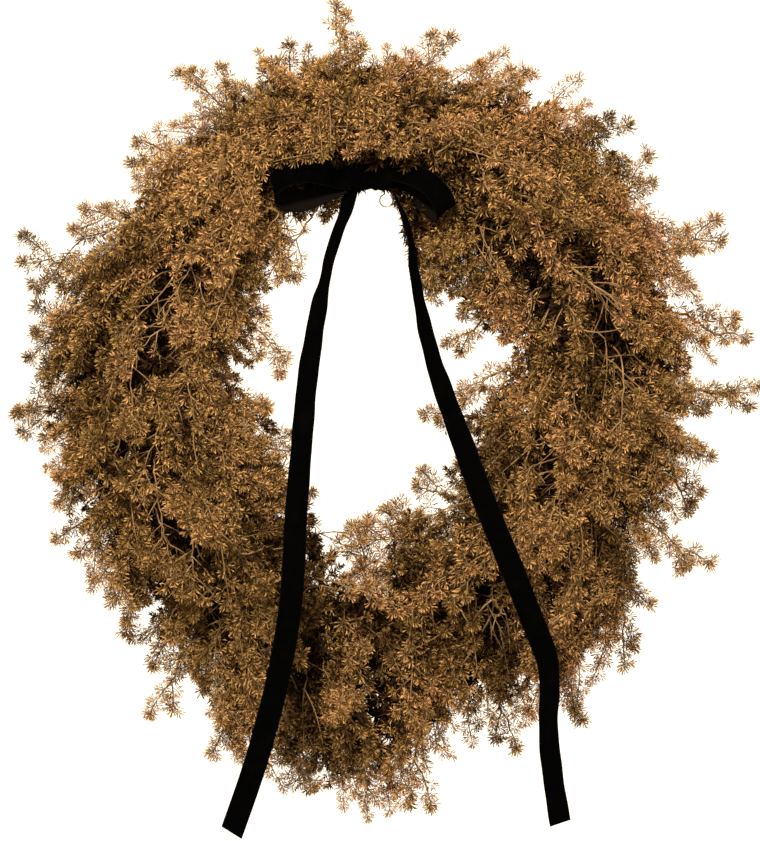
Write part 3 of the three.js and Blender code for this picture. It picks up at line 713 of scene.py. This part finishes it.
def solid_of(node):
    """A solid's points, with none repeated, in millimetres, and its faces."""
    mesh = node.data
    points = np.empty(len(mesh.vertices) * 3)
    mesh.vertices.foreach_get("co", points)
    mesh.calc_loop_triangles()
    corners = np.empty(len(mesh.loop_triangles) * 3, int)
    mesh.loop_triangles.foreach_get("vertices", corners)
    rounded = np.round(points.reshape(-1, 3) / MM, 3)
    distinct, same = np.unique(rounded, axis=0, return_inverse=True)
    return distinct, same.ravel()[corners].reshape(-1, 3)


def needle_peaks(points, faces):
    """Which points are the tips of needles: those with three faces round them, and their feet."""
    used = np.bincount(faces.ravel(), minlength=len(points))
    peaks, feet = [], []
    for corner in np.flatnonzero(used == 3):
        around = np.unique(faces[(faces == corner).any(1)])
        around = around[around != corner]
        foot = points[around].mean(0)
        height = np.linalg.norm(points[corner] - foot)
        if len(around) == 3 and OWN_NEEDLE[0] < height < OWN_NEEDLE[1]:
            peaks.append(corner)
            feet.append(foot)
    return np.array(peaks), np.array(feet)


def ring_distance(points):
    flat = points - RING_CENTRE
    return np.hypot(np.hypot(flat[:, 0], flat[:, 2]) - RING_RADIUS, flat[:, 1])


def bunch_tree(points, faces):
    """The tree of twigs inside a bunch: points, each one's parent, and its needles' feet and tips."""
    peaks, feet = needle_peaks(points, faces)
    distance = ring_distance(points)
    root = int(np.argmin(distance))
    is_core = np.ones(len(points), bool)
    is_core[peaks] = False
    is_core[root] = True
    keep = peaks != root
    core = points[np.r_[root, [i for i in np.flatnonzero(is_core) if i != root]]]
    parent = shortest_tree(core)
    return soften(core, parent), parent, feet[keep], points[peaks[keep]]


def shortest_tree(points):
    """Each point's parent in the tree of least length that joins them all to the first."""
    parent = np.zeros(len(points), int)
    nearest = np.linalg.norm(points - points[0], axis=1)
    reached = np.zeros(len(points), bool)
    reached[0] = True
    for _ in range(len(points) - 1):
        step = int(np.argmin(np.where(reached, np.inf, nearest)))
        reached[step] = True
        away = np.linalg.norm(points - points[step], axis=1)
        closer = (away < nearest) & ~reached
        nearest[closer] = away[closer]
        parent[closer] = step
    return parent


def soften(points, parent, rounds=4):
    """Draws each point of a tree towards its neighbours, so that its twigs run smoothly."""
    count = np.bincount(parent[1:], minlength=len(points))
    for _ in range(rounds):
        sums = np.zeros_like(points)
        np.add.at(sums, parent[1:], points[1:])
        inner = count > 0
        inner[0] = False
        mean = sums[inner] / count[inner, None]
        points = points.copy()
        points[inner] = (points[inner] + points[parent[inner]] + mean) / 3
    return points


def tree_runs(parent):
    """Splits a tree into runs of points, each from a fork to a tip, and counts what each carries."""
    size = len(parent)
    children = [[] for _ in range(size)]
    for child in range(1, size):
        children[parent[child]].append(child)
    order = [0]
    for node in order:
        order.extend(children[node])
    load = np.ones(size)
    for node in reversed(order[1:]):
        load[parent[node]] += load[node]
    runs = []
    starts = [(0, None)]
    while starts:
        node, before = starts.pop()
        run = [node] if before is None else [before, node]
        while children[node]:
            ranked = sorted(children[node], key=lambda c: -load[c])
            starts.extend((c, node) for c in ranked[1:])
            node = ranked[0]
            run.append(node)
        runs.append(run)
    return runs, load


# Foliage: shoots and twigs

def needled_shoot(random, needles, shoot, length, width, widest, **_):
    """A shoot along +X in millimetres: flat needles lean forward all round it and end in a star.

    It is made of points, of faces, and of how far along its needle each point is.
    """
    stem = np.array([[-1, -SHOOT_STEM / 2, 0], [-1, SHOOT_STEM / 2, 0],
                     [shoot, SHOOT_STEM / 2, 0], [shoot, -SHOOT_STEM / 2, 0]])
    points, faces, reach = [stem], [np.array([[0, 1, 2], [0, 2, 3]])], [np.full(4, 0.3)]
    for i in range(needles):
        share = i / (needles - 1)
        lean = NEEDLE_LEAN[0] + (NEEDLE_LEAN[1] - NEEDLE_LEAN[0]) * share ** 1.5
        lean = math.radians(lean) + random.normal(0, 0.12)
        turn = i * math.radians(NEEDLE_TURN) + random.normal(0, 0.2)
        aside = np.array([0, math.cos(turn), math.sin(turn)])
        way = np.array([math.cos(lean), 0, 0]) + math.sin(lean) * aside
        foot = np.array([shoot * share ** 0.6, 0, 0])
        tip = foot + way * length * random.uniform(*NEEDLE_LENGTHS)
        side = unit(np.cross(way, random.normal(0, 1, 3)))
        blade = [foot - side * width * 0.15, foot + (tip - foot) * widest + side * width * 0.85, tip]
        faces.append(np.array([[0, 1, 2]]) + 4 + 3 * i)
        reach.append(np.array([0, widest, 1]) * random.uniform(0.4, 1.2))
        points.append(np.array(blade))
    return np.vstack(points), np.vstack(faces), np.concatenate(reach)


class Spray:
    """What one piece of foliage holds: twigs as paths with radii, and shoots as places and ways."""

    def __init__(self):
        self.twigs = []
        self.shoots = {age: [] for age in SHOOTS}

    def twig(self, path, radii, sides=TWIG_SIDES):
        self.twigs.append((np.asarray(path, float), np.asarray(radii, float), sides))

    def shoot(self, age, place, way, scale, tone):
        if not any(under_knot(place + way * part * scale) for part in (6, 15)):
            self.shoots[age].append((place, way, scale, tone))

    def thin_hollows(self, random):
        """Leaves most twigs bare where they cross a dark hollow of the front."""
        for age in ("inner", "young"):
            shoots = self.shoots[age]
            if shoots:
                places = np.array([shoot[0] for shoot in shoots])
                bare = hollow_depth(places) > random.uniform(0.05, 0.95, len(places))
                bare &= places[:, 1] < HOLLOW_FRONT
                self.shoots[age] = [shoot for shoot, dropped in zip(shoots, bare) if not dropped]

    def build(self, name, forms, materials, random):
        points, faces, slots, tones, reaches = [], [], [], [], []
        at = 0
        for path, radii, sides in self.twigs:
            corners = tube_points(path, radii, sides)
            skin = halved(tube_faces(len(path), sides))
            points.append(corners)
            faces.append(skin + at)
            slots.append(np.ones(len(skin)))
            tones.append(np.zeros(len(corners)))
            reaches.append(np.zeros(len(corners)))
            at += len(corners)
        for age, shoots in self.shoots.items():
            if not shoots:
                continue
            kinds = forms[age]
            places, ways, scales, shades = (np.array([shoot[i] for shoot in shoots]) for i in range(4))
            turns = turned_frames(unit(ways), random.uniform(0, 2 * math.pi, len(places)))
            choice = random.integers(0, len(kinds), len(places))
            for k, (body, body_faces, reach) in enumerate(kinds):
                chosen = np.flatnonzero(choice == k)
                moved = (np.einsum("vi,nij->nvj", body, turns[chosen]) * scales[chosen, None, None]
                         + places[chosen, None])
                offsets = at + np.arange(len(chosen)) * len(body)
                points.append(moved.reshape(-1, 3))
                faces.append((body_faces[None] + offsets[:, None, None]).reshape(-1, 3))
                slots.append(np.zeros(len(body_faces) * len(chosen)))
                tones.append(np.repeat(shades[chosen], len(body)))
                reaches.append(np.tile(reach, len(chosen)))
                at += len(chosen) * len(body)
        points = press_flat(np.vstack(points))
        return mesh_piece(name, points * MM, np.vstack(faces), materials, np.concatenate(slots),
                          {"tone": np.concatenate(tones), "reach": np.concatenate(reaches)})


def press_flat(points):
    """Foliage that would stand further back than the wall lies pressed along it."""
    beyond = np.maximum(points[:, 1] - BACK_FREE, 0)
    points[:, 1] -= beyond * BACK_PRESSED
    return points


def turned_frames(ways, rolls):
    """For each way, three axes: the way itself and two across it, turned by the roll."""
    side = unit(np.cross(ways, np.where(np.abs(ways[:, 2:3]) < 0.9, DOWN, FRONT)))
    up = np.cross(ways, side)
    across = side * np.cos(rolls)[:, None] + up * np.sin(rolls)[:, None]
    return np.stack([ways, across, np.cross(ways, across)], axis=1)


def carried_radius(load):
    """A twig's radius, from how many points of the tree it carries."""
    return TWIG_TIP * load ** 0.3


def dress_bunch(spray, tree, parent, feet, tips, random, tone):
    """The bunch's own twigs, with a shoot for each needle of the solid and more between them."""
    runs, load = tree_runs(parent)
    for run in runs:
        path = tree[run]
        radii = carried_radius(load[run])
        if len(run) > 2:
            radii[0] = min(radii[0], radii[1] * 1.2)
        spray.twig(path, radii, STEM_SIDES)
        length = lengths_along(path)[-1]
        if length > OWN_STEP * 1.5:
            smooth = smooth_curve(path, max(4, int(length / 6)))
            needled = min(0.8 * length, OWN_NEEDLED)
            set_shoots(spray, smooth, needled, "young", OWN_STEP, tone, random)
    for foot, tip in zip(feet, tips):
        start = tree[np.argmin(np.linalg.norm(tree - foot, axis=1))]
        way = tip - start
        length = np.linalg.norm(way)
        place = start + way * max(0.0, 1 - SHOOT_REACH / max(length, SHOOT_REACH + 0.1))
        if length > SHOOT_REACH + 1.5:
            spray.twig([start, place], [TWIG_TIP, TWIG_TIP * 0.9])
        way = way / length + random.normal(0, 0.15, 3)
        scale = random.uniform(0.85, 1.05)
        spray.shoot("young", place, way, scale, tone + random.normal(0, 0.07))


def bend_between(start, leave, end, arrive, count):
    """Points of a curve that leaves start one way and arrives at end another way."""
    gap = np.linalg.norm(end - start)
    t = np.linspace(0, 1, count)[:, None]
    first = start + leave * gap * 0.35
    second = end - arrive * gap * 0.4
    return ((1 - t) ** 3 * start + 3 * (1 - t) ** 2 * t * first
            + 3 * (1 - t) * t ** 2 * second + t ** 3 * end)


def edge_at(clock):
    """How far the hole's side and the outer side of the foliage stand from the ring's centre."""
    return [np.interp(clock % 360, EDGE[:, 0], EDGE[:, side]) for side in (1, 2)]


def tail_at(tail, heights):
    """The x, the y and the turn of a tail at each height."""
    rows = tail[::-1]
    return [np.interp(heights, rows[:, 2], rows[:, column]) for column in (0, 1, 3)]


def under_knot(place):
    """Whether a place lies in the clear wedge between the tails, just under the knot."""
    if not WEDGE_BOTTOM < place[2] < WEDGE_TOP:
        return False
    left, right = (tail_at(tail, place[2])[0] for tail in (LEFT_TAIL, RIGHT_TAIL))
    return left + 2 < place[0] < right - 3


def keep_behind_bow(points):
    """Moves points back, in the array itself, until they lie behind the tails and the bow."""
    push = np.zeros(len(points))
    for tail in (LEFT_TAIL, RIGHT_TAIL):
        x, y, turn = tail_at(tail, points[:, 2])
        turn = np.radians(turn)
        half = RIBBON_WIDTH / 2 * np.cos(turn) + BESIDE_TAIL
        inside = np.abs(points[:, 0] - x) < half
        inside &= (points[:, 2] < 4) & (points[:, 2] > tail[-1, 2] - 8)
        lag = y + BEHIND_TAIL + RIBBON_WIDTH / 2 * np.abs(np.sin(turn)) - points[:, 1]
        push = np.maximum(push, np.where(inside, lag, 0))
    for middle, half, bottom, top, front in BEHIND_BOW:
        inside = np.abs(points[:, 0] - middle) < half
        inside &= (points[:, 2] < top) & (points[:, 2] > bottom)
        push = np.maximum(push, np.where(inside, front - points[:, 1], 0))
    points[:, 1] += push


def place_across(clock, across):
    """Places in the ring's middle plane, by clock angle and share of the way across the foliage."""
    hole, outer = edge_at(clock)
    return RING_CENTRE + radial(clock) * (hole + across * (outer - hole))[:, None]


def hollow_depth(points):
    """How far each place lies in one of the dark hollows of the front: 0 outside, 1 well inside."""
    depth = np.zeros(len(points))
    for x, z, length, width, lean in HOLLOWS:
        angle = math.radians(lean)
        gap_x, gap_z = points[:, 0] - x, points[:, 2] - z
        along = (gap_x * math.sin(angle) - gap_z * math.cos(angle)) / length
        aside = (gap_x * math.cos(angle) + gap_z * math.sin(angle)) / width
        depth = np.maximum(depth, np.clip(HOLLOW_WALL * (1 - np.hypot(along, aside)), 0, 1))
    return depth


def lie_of_foliage(clock, across):
    """The way that foliage lies: into the hole at the inner edge, outward at the outer, and down."""
    side = np.where((clock % 360) < 180, 1.0, -1.0)[:, None]
    steep = np.abs(np.sin(np.radians(clock)))[:, None]
    outward = (LIE_OUTWARD * (across - LIE_TURN))[:, None]
    hang = LIE_HANG * np.clip((across - 0.2) / 0.3, 0, 1)[:, None]
    down_ring = clockwise(clock) * side * (LIE_ALONG + LIE_ALONG_SIDES * steep)
    return radial(clock) * outward + down_ring + DOWN * hang


class Clumps:
    """The cut branches that lie side by side on the front: each has its own tone, turn and height."""

    def __init__(self, random):
        order = np.arange(CLUMPS)
        clock = (order * EVEN_OVER[0] + 0.2) % 1 * 360
        across = 0.06 + 0.9 * ((order * EVEN_OVER[1] + 0.1) % 1)
        self.centres = place_across(clock, across)
        self.ways = unit(lie_of_foliage(clock, across) + 1e-9)
        self.tones = np.maximum(random.normal(0, CLUMP_TONES, CLUMPS), DARKEST_CLUMP)
        self.turns = random.normal(0, CLUMP_TURNS, CLUMPS)
        self.lifts = random.uniform(-CLUMP_LIFT, CLUMP_LIFT, CLUMPS)

    def place_in(self, places):
        """For each place, its clump and how near it is to the clump's edge: 1 on the edge, 0 inside."""
        gap = (places[:, None] - self.centres[None]) * [1, 0, 1]
        along = (gap * self.ways).sum(2)
        aside = np.linalg.norm(gap - self.ways * along[..., None], axis=2)
        away = np.hypot(along * 0.5, aside)
        order = np.argsort(away, axis=1)
        first = np.take_along_axis(away, order[:, :1], 1)[:, 0]
        second = np.take_along_axis(away, order[:, 1:2], 1)[:, 0]
        return order[:, 0], np.clip(1 - (second - first) / CLUMP_BORDER, 0, 1)


def spread_in_ring(cover):
    """Evenly spread clock angles and radii between the foliage's edges, and the shares across it."""
    order = np.arange(cover["count"])
    clock = (order * EVEN_OVER[0] % 1) * 360
    inside, outside = cover["margins"]
    share = 2 * ((order * EVEN_OVER[1] + 0.5) % 1) - 1
    share = 0.5 + 0.5 * np.sign(share) * np.abs(share) ** cover["crowd"]
    share = inside + (1 - inside - outside) * share
    hole, outer = edge_at(clock)
    radius = np.sqrt(hole ** 2 + share * (outer ** 2 - hole ** 2))
    return clock, radius, (radius - hole) / (outer - hole)


def arch_of(across, least=0):
    """How far the foliage rounds forward: 1 midway between its edges, and least at them."""
    return np.sqrt(np.clip(1 - (2 * across - 1) ** 2, least, 1))


def spread_over_wreath(random, clumps, age):
    """Places of plumes over the wreath's front and back, with the way that foliage lies there.

    With them come the tones of the plumes, and the distances between their shoots.
    """
    cover = PLUMES[age]
    count = cover["count"]
    clock, radius, across = spread_in_ring(cover)
    arch = arch_of(across)
    radius = radius + np.where(across > FRINGE, cover["ragged"] * random.uniform(-0.6, 1, count), 0)
    flat = RING_CENTRE + radial(clock) * radius[:, None]
    clump, border = clumps.place_in(flat)
    lie = lie_of_foliage(clock, across)
    hollow = np.maximum(hollow_depth(flat), hollow_depth(flat - unit(lie) * cover["length"] * 0.45))
    sunk = cover["top"] + (cover["bottom"] - cover["top"]) * random.uniform(0, 1, count) ** 1.3
    sunk = sunk + cover["border"] * border + cover["hollow"] * hollow - clumps.lifts[clump]
    depth = arch ** 0.8 * np.minimum(-DOME_FRONT + sunk, -4) + random.normal(0, 3, count)
    back = random.uniform(0, 1, count) < cover["back"]
    depth = np.where(back, DOME_BACK * arch * random.uniform(0.2, 1, count), depth)
    places = flat - FRONT * depth[:, None]
    turn = clumps.turns[clump][:, None]
    lie = lie * np.cos(turn) + np.cross(lie, FRONT) * np.sin(turn)
    scatter = random.normal(0, cover["spread"], (count, 3))
    ways = lie + FRONT * np.where(back, -0.1, 0.2)[:, None] + scatter
    keep_behind_bow(places)
    kept = back | (random.uniform(0, 1, count) > cover["thin"] * np.maximum(border * 0.5, hollow))
    tone = cover["tone"] + cover["tone_swing"] * (clumps.tones[clump] + random.normal(0, 0.09, count))
    # Painted light and shade: the tone is darker midway across the foliage and in the hollows, as
    # painted shade, and lighter at the top and at the rims, as painted light.
    tone = tone - 0.1 * arch - 0.3 * hollow + TOP_PAINTED_LIGHT * np.cos(np.radians(clock))
    tone = tone + cover["rim_light"] * (1 - arch)
    steps = SHOOTS[age]["step"] * np.where(across > FRINGE, cover["fringe"], 1)
    return places[kept], unit(ways[kept]), np.maximum(tone[kept], 0.02), steps[kept]


class Wood:
    """The points of all twigs grown so far, each with its way and the spray that it belongs to."""

    def __init__(self, trees):
        self.points = np.vstack([tree for tree, _ in trees])
        self.owner = np.concatenate([np.full(len(tree), i) for i, (tree, _) in enumerate(trees)])
        self.leave = np.vstack([unit(tree - tree[parent] + 1e-6) for tree, parent in trees])

    def nearest(self, place):
        """Which point of the wood is nearest to a place."""
        return int(np.argmin(np.linalg.norm(self.points - place, axis=1)))

    def grow(self, path, owner):
        self.points = np.vstack([self.points, path])
        self.owner = np.concatenate([self.owner, np.full(len(path), owner)])
        self.leave = np.vstack([self.leave, unit(np.gradient(path, axis=0))])


def grow_plumes(sprays, wood, random, clumps, age):
    """Adds the plumes of one age, nearest first, each on a twig of its own from the nearest wood."""
    places, ways, tones, steps = spread_over_wreath(random, clumps, age)
    lengths = PLUMES[age]["length"] * random.uniform(0.75, 1.2, len(places))
    roots = places - ways * lengths[:, None] + FRONT * np.where(places[:, 1:2] < 0, 8, 0)
    away = np.array([np.linalg.norm(wood.points - root, axis=1).min() for root in roots])
    for k in np.argsort(away):
        nearest = wood.nearest(roots[k])
        start = wood.points[nearest]
        leave = unit(wood.leave[nearest] + unit(roots[k] - start))
        path = bend_between(start, leave, places[k], ways[k], 7)
        keep_behind_bow(path[1:])
        if any(under_knot(point) for point in path[2:]):
            continue
        owner = wood.owner[nearest]
        dress_plume(sprays[owner], path, lengths[k], age, steps[k], tones[k], random)
        wood.grow(path[2:6:2], owner)


def set_shoots(spray, path, needled, age, step, tone, random):
    """Sets needled shoots along the end of a twig, in two uneven ranks, smaller towards its tip."""
    run = lengths_along(path)
    total = run[-1]
    along, side, up = axes_along(path)
    plane = random.uniform(0, math.pi)
    needled = min(needled, total - 1)
    count = max(2, int(needled / step))
    shares = (np.arange(count) + 0.4) / count
    marks = total - needled * (1 - shares)
    places = np.stack([np.interp(marks, run, path[:, axis]) for axis in range(3)], axis=1)
    keep_behind_bow(places)
    for place, share, mark in zip(places, shares, marks):
        index = int(np.clip(np.searchsorted(run, mark), 0, len(path) - 1))
        plane += math.pi
        turn = plane + random.normal(0, 0.6)
        out = side[index] * math.cos(turn) + up[index] * math.sin(turn)
        way = unit(along[index] * 0.85 + out + DOWN * 0.08)
        reach = SHOOTS[age]["reach"] * math.sin(math.pi * share ** 0.7) * random.uniform(0, 1)
        if reach > 2.5:
            spray.twig([place, place + way * reach], [TWIG_TIP, TWIG_TIP * 0.8])
            place = place + way * reach
        scale = (1.1 - 0.34 * share) * random.uniform(0.9, 1.1)
        spray.shoot(age, place, way, scale, tone + random.normal(0, 0.03))
    spray.shoot(age, path[-1] - along[-1] * 5, along[-1], 0.85, tone + 0.04)


def dress_plume(spray, path, needled, age, step, tone, random):
    """A plume: a tapered twig, with shoots along its end."""
    run = lengths_along(path)
    spray.twig(path, np.interp(run, [0, run[-1]], [TWIG_TIP * 2.0, TWIG_TIP]))
    set_shoots(spray, path, needled, age, step, tone, random)


def grow_long_sprays(sprays, wood, random, clumps):
    """Long forked twigs that lie over the front, bare at first and then set with small plumes."""
    order = np.arange(SPRAYS)
    clock = (order * EVEN_ROUND % 1) * 360
    across = 0.2 + 0.6 * ((order * EVEN_OVER[0] + 0.3) % 1)
    starts = place_across(clock, across) + FRONT * (SPRAY_START * arch_of(across))[:, None]
    ways = unit(lie_of_foliage(clock, across) + random.normal(0, 0.2, (SPRAYS, 3)) * [1, 0, 1])
    lengths = SPRAY_LENGTH * random.uniform(0.75, 1.15, SPRAYS)
    tips = starts + ways * lengths[:, None]
    away = np.linalg.norm((tips - RING_CENTRE) * [1, 0, 1], axis=1)
    hole, outer = edge_at(clock_of(tips))
    tips = tips - ways * np.clip(np.maximum(away - outer - 4, hole - away - 4), 0, 70)[:, None]
    tips[:, 1] = dome_front(tips) - 5
    keep_behind_bow(tips)
    clump, _ = clumps.place_in(tips)
    for k in range(SPRAYS):
        nearest = wood.nearest(starts[k])
        start = wood.points[nearest]
        path = bend_between(start, unit(wood.leave[nearest] + 1.5 * FRONT), tips[k], ways[k], 15)
        path[2:-1] += random.normal(0, 0.9, (len(path) - 3, 3)) * [1, 0.4, 1]
        keep_behind_bow(path[1:])
        if any(under_knot(point) for point in path[3:]):
            continue
        owner = wood.owner[nearest]
        dress_long_spray(sprays[owner], path, 0.55 + clumps.tones[clump[k]], random)
        wood.grow(path[4:], owner)


def dome_front(places):
    """How far forward the foliage's rounded front stands at each place, as a y."""
    clock = clock_of(places)
    hole, outer = edge_at(clock)
    flat = places - RING_CENTRE
    across = (np.hypot(flat[:, 0], flat[:, 2]) - hole) / (outer - hole)
    return -DOME_FRONT * arch_of(across, 0.06)


def dress_long_spray(spray, path, tone, random):
    """A long spray: a tapered stem with side twigs in two ranks, shorter towards its tip."""
    run = lengths_along(path)
    total = run[-1]
    step = SHOOTS["young"]["step"]
    spray.twig(path, np.interp(run, [0, total], [SPRAY_BUTT, TWIG_TIP]), STEM_SIDES)
    along, side, up = axes_along(path)
    for i in range(SIDE_TWIGS):
        share = 0.32 + 0.58 * i / (SIDE_TWIGS - 1)
        index = int(np.clip(np.searchsorted(run, total * share), 1, len(path) - 2))
        turn = i * math.pi + random.normal(0, 0.45)
        out = side[index] * math.cos(turn) + up[index] * math.sin(turn) * 0.6
        way = unit(along[index] * 0.9 + out + DOWN * 0.1)
        length = SIDE_TWIG_LENGTH * (1 - 0.55 * i / SIDE_TWIGS) * random.uniform(0.85, 1.15)
        tip = path[index] + way * length
        keep_behind_bow(tip[None])
        if under_knot(tip):
            continue
        arrive = unit(way + along[index] * 0.4)
        twig = bend_between(path[index], unit(along[index] + out), tip, arrive, 6)
        shade = tone + random.normal(0, 0.05)
        dress_plume(spray, twig, length * 0.75, "young", step, shade, random)
    set_shoots(spray, path[-6:], min(36, total - run[-6]), "young", step, tone, random)


def make_foliage(needles, twigs):
    """The foliage, in one piece for each bunch: its own twigs first, then all that grows from them."""
    random = np.random.default_rng(7)
    forms = {age: [needled_shoot(random, **kind) for _ in range(SHOOT_FORMS)]
             for age, kind in SHOOTS.items()}
    names = sorted(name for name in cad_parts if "bunch" in name)
    sprays, trees = [], []
    for name in names:
        tree, parent, feet, tips = bunch_tree(*solid_of(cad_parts[name]))
        spray = Spray()
        dress_bunch(spray, tree, parent, feet, tips, random, random.uniform(0.25, 0.6))
        sprays.append(spray)
        trees.append((tree, parent))
    wood = Wood(trees)
    clumps = Clumps(random)
    grow_plumes(sprays, wood, random, clumps, "old")
    grow_plumes(sprays, wood, random, clumps, "inner")
    grow_long_sprays(sprays, wood, random, clumps)
    grow_plumes(sprays, wood, random, clumps, "young")
    for spray in sprays:
        spray.thin_hollows(random)
    for name, spray in zip(names, sprays):
        piece = spray.build(name.replace("bunch", "cypress"), forms, [needles, twigs], random)
        fit_to_node(piece, name)


# Floor, backdrop and lights

def painted_floor():
    """A painted floor: matt and even, a warm light grey that the lamps lift to cream."""
    finish = {"Base Color": linear("#BDB9B2"), "Roughness": 0.8}
    return new_material("matt_painted_floor", finish)[0]


def make_floor(paint):
    angle = angles_round(FLOOR_SIDES)
    rings = [(FLOOR_RADIUS, FLOOR_HEIGHT - 20), (FLOOR_RADIUS, FLOOR_HEIGHT - 4),
             (FLOOR_RADIUS - 4, FLOOR_HEIGHT), (FLOOR_RADIUS / 2, FLOOR_HEIGHT), (1, FLOOR_HEIGHT)]
    points = np.vstack([np.stack([r * np.cos(angle), r * np.sin(angle), np.full(FLOOR_SIDES, z)],
                                 axis=-1) for r, z in rings])
    mesh_piece("round_floor", points * MM, tube_faces(len(rings), FLOOR_SIDES), [paint])


def soft_light(name, place, power, size):
    data = bpy.data.lights.new(name, "AREA")
    data.shape = "DISK"
    data.size = size
    data.energy = power
    data.color = linear(LAMP_COLOUR)[:3]
    light = bpy.data.objects.new(name, data)
    light.location = place
    aim = Vector(np.array([0, 0, RING_HEIGHT * MM]) - place)
    light.rotation_euler = aim.to_track_quat("-Z", "Y").to_euler()
    bpy.context.scene.collection.objects.link(light)


def light_studio():
    world = bpy.data.worlds.new("studio")
    world.use_nodes = True
    tree = world.node_tree
    background = tree.nodes["Background"]
    background.inputs[0].default_value = linear(STUDIO_COLOUR)
    place = add(tree, "ShaderNodeTexCoord")
    parts = add(tree, "ShaderNodeSeparateXYZ", Vector=place.outputs["Generated"])
    glow = add(tree, "ShaderNodeMapRange", {"From Min": WHITE_FROM, "From Max": WHITE_TO,
                                            "To Min": STUDIO_LIGHT, "To Max": WHITE_LIGHT},
               Value=parts.outputs["Y"])
    lift = add(tree, "ShaderNodeMath", {"operation": "MULTIPLY_ADD", 1: SKY_LIFT},
               _0=parts.outputs["Z"], _2=glow)
    tree.links.new(lift.outputs[0], background.inputs[1])
    bpy.context.scene.world = world
    for name, lamp in LAMPS.items():
        soft_light(name, **lamp)


make_vines(vine_bark())
make_foliage(dried_needles(), smooth_twigs())
make_bow(black_velvet(), drawn_wire())
make_floor(painted_floor())
light_studio()
bpy.context.scene.view_settings.view_transform = "Standard"
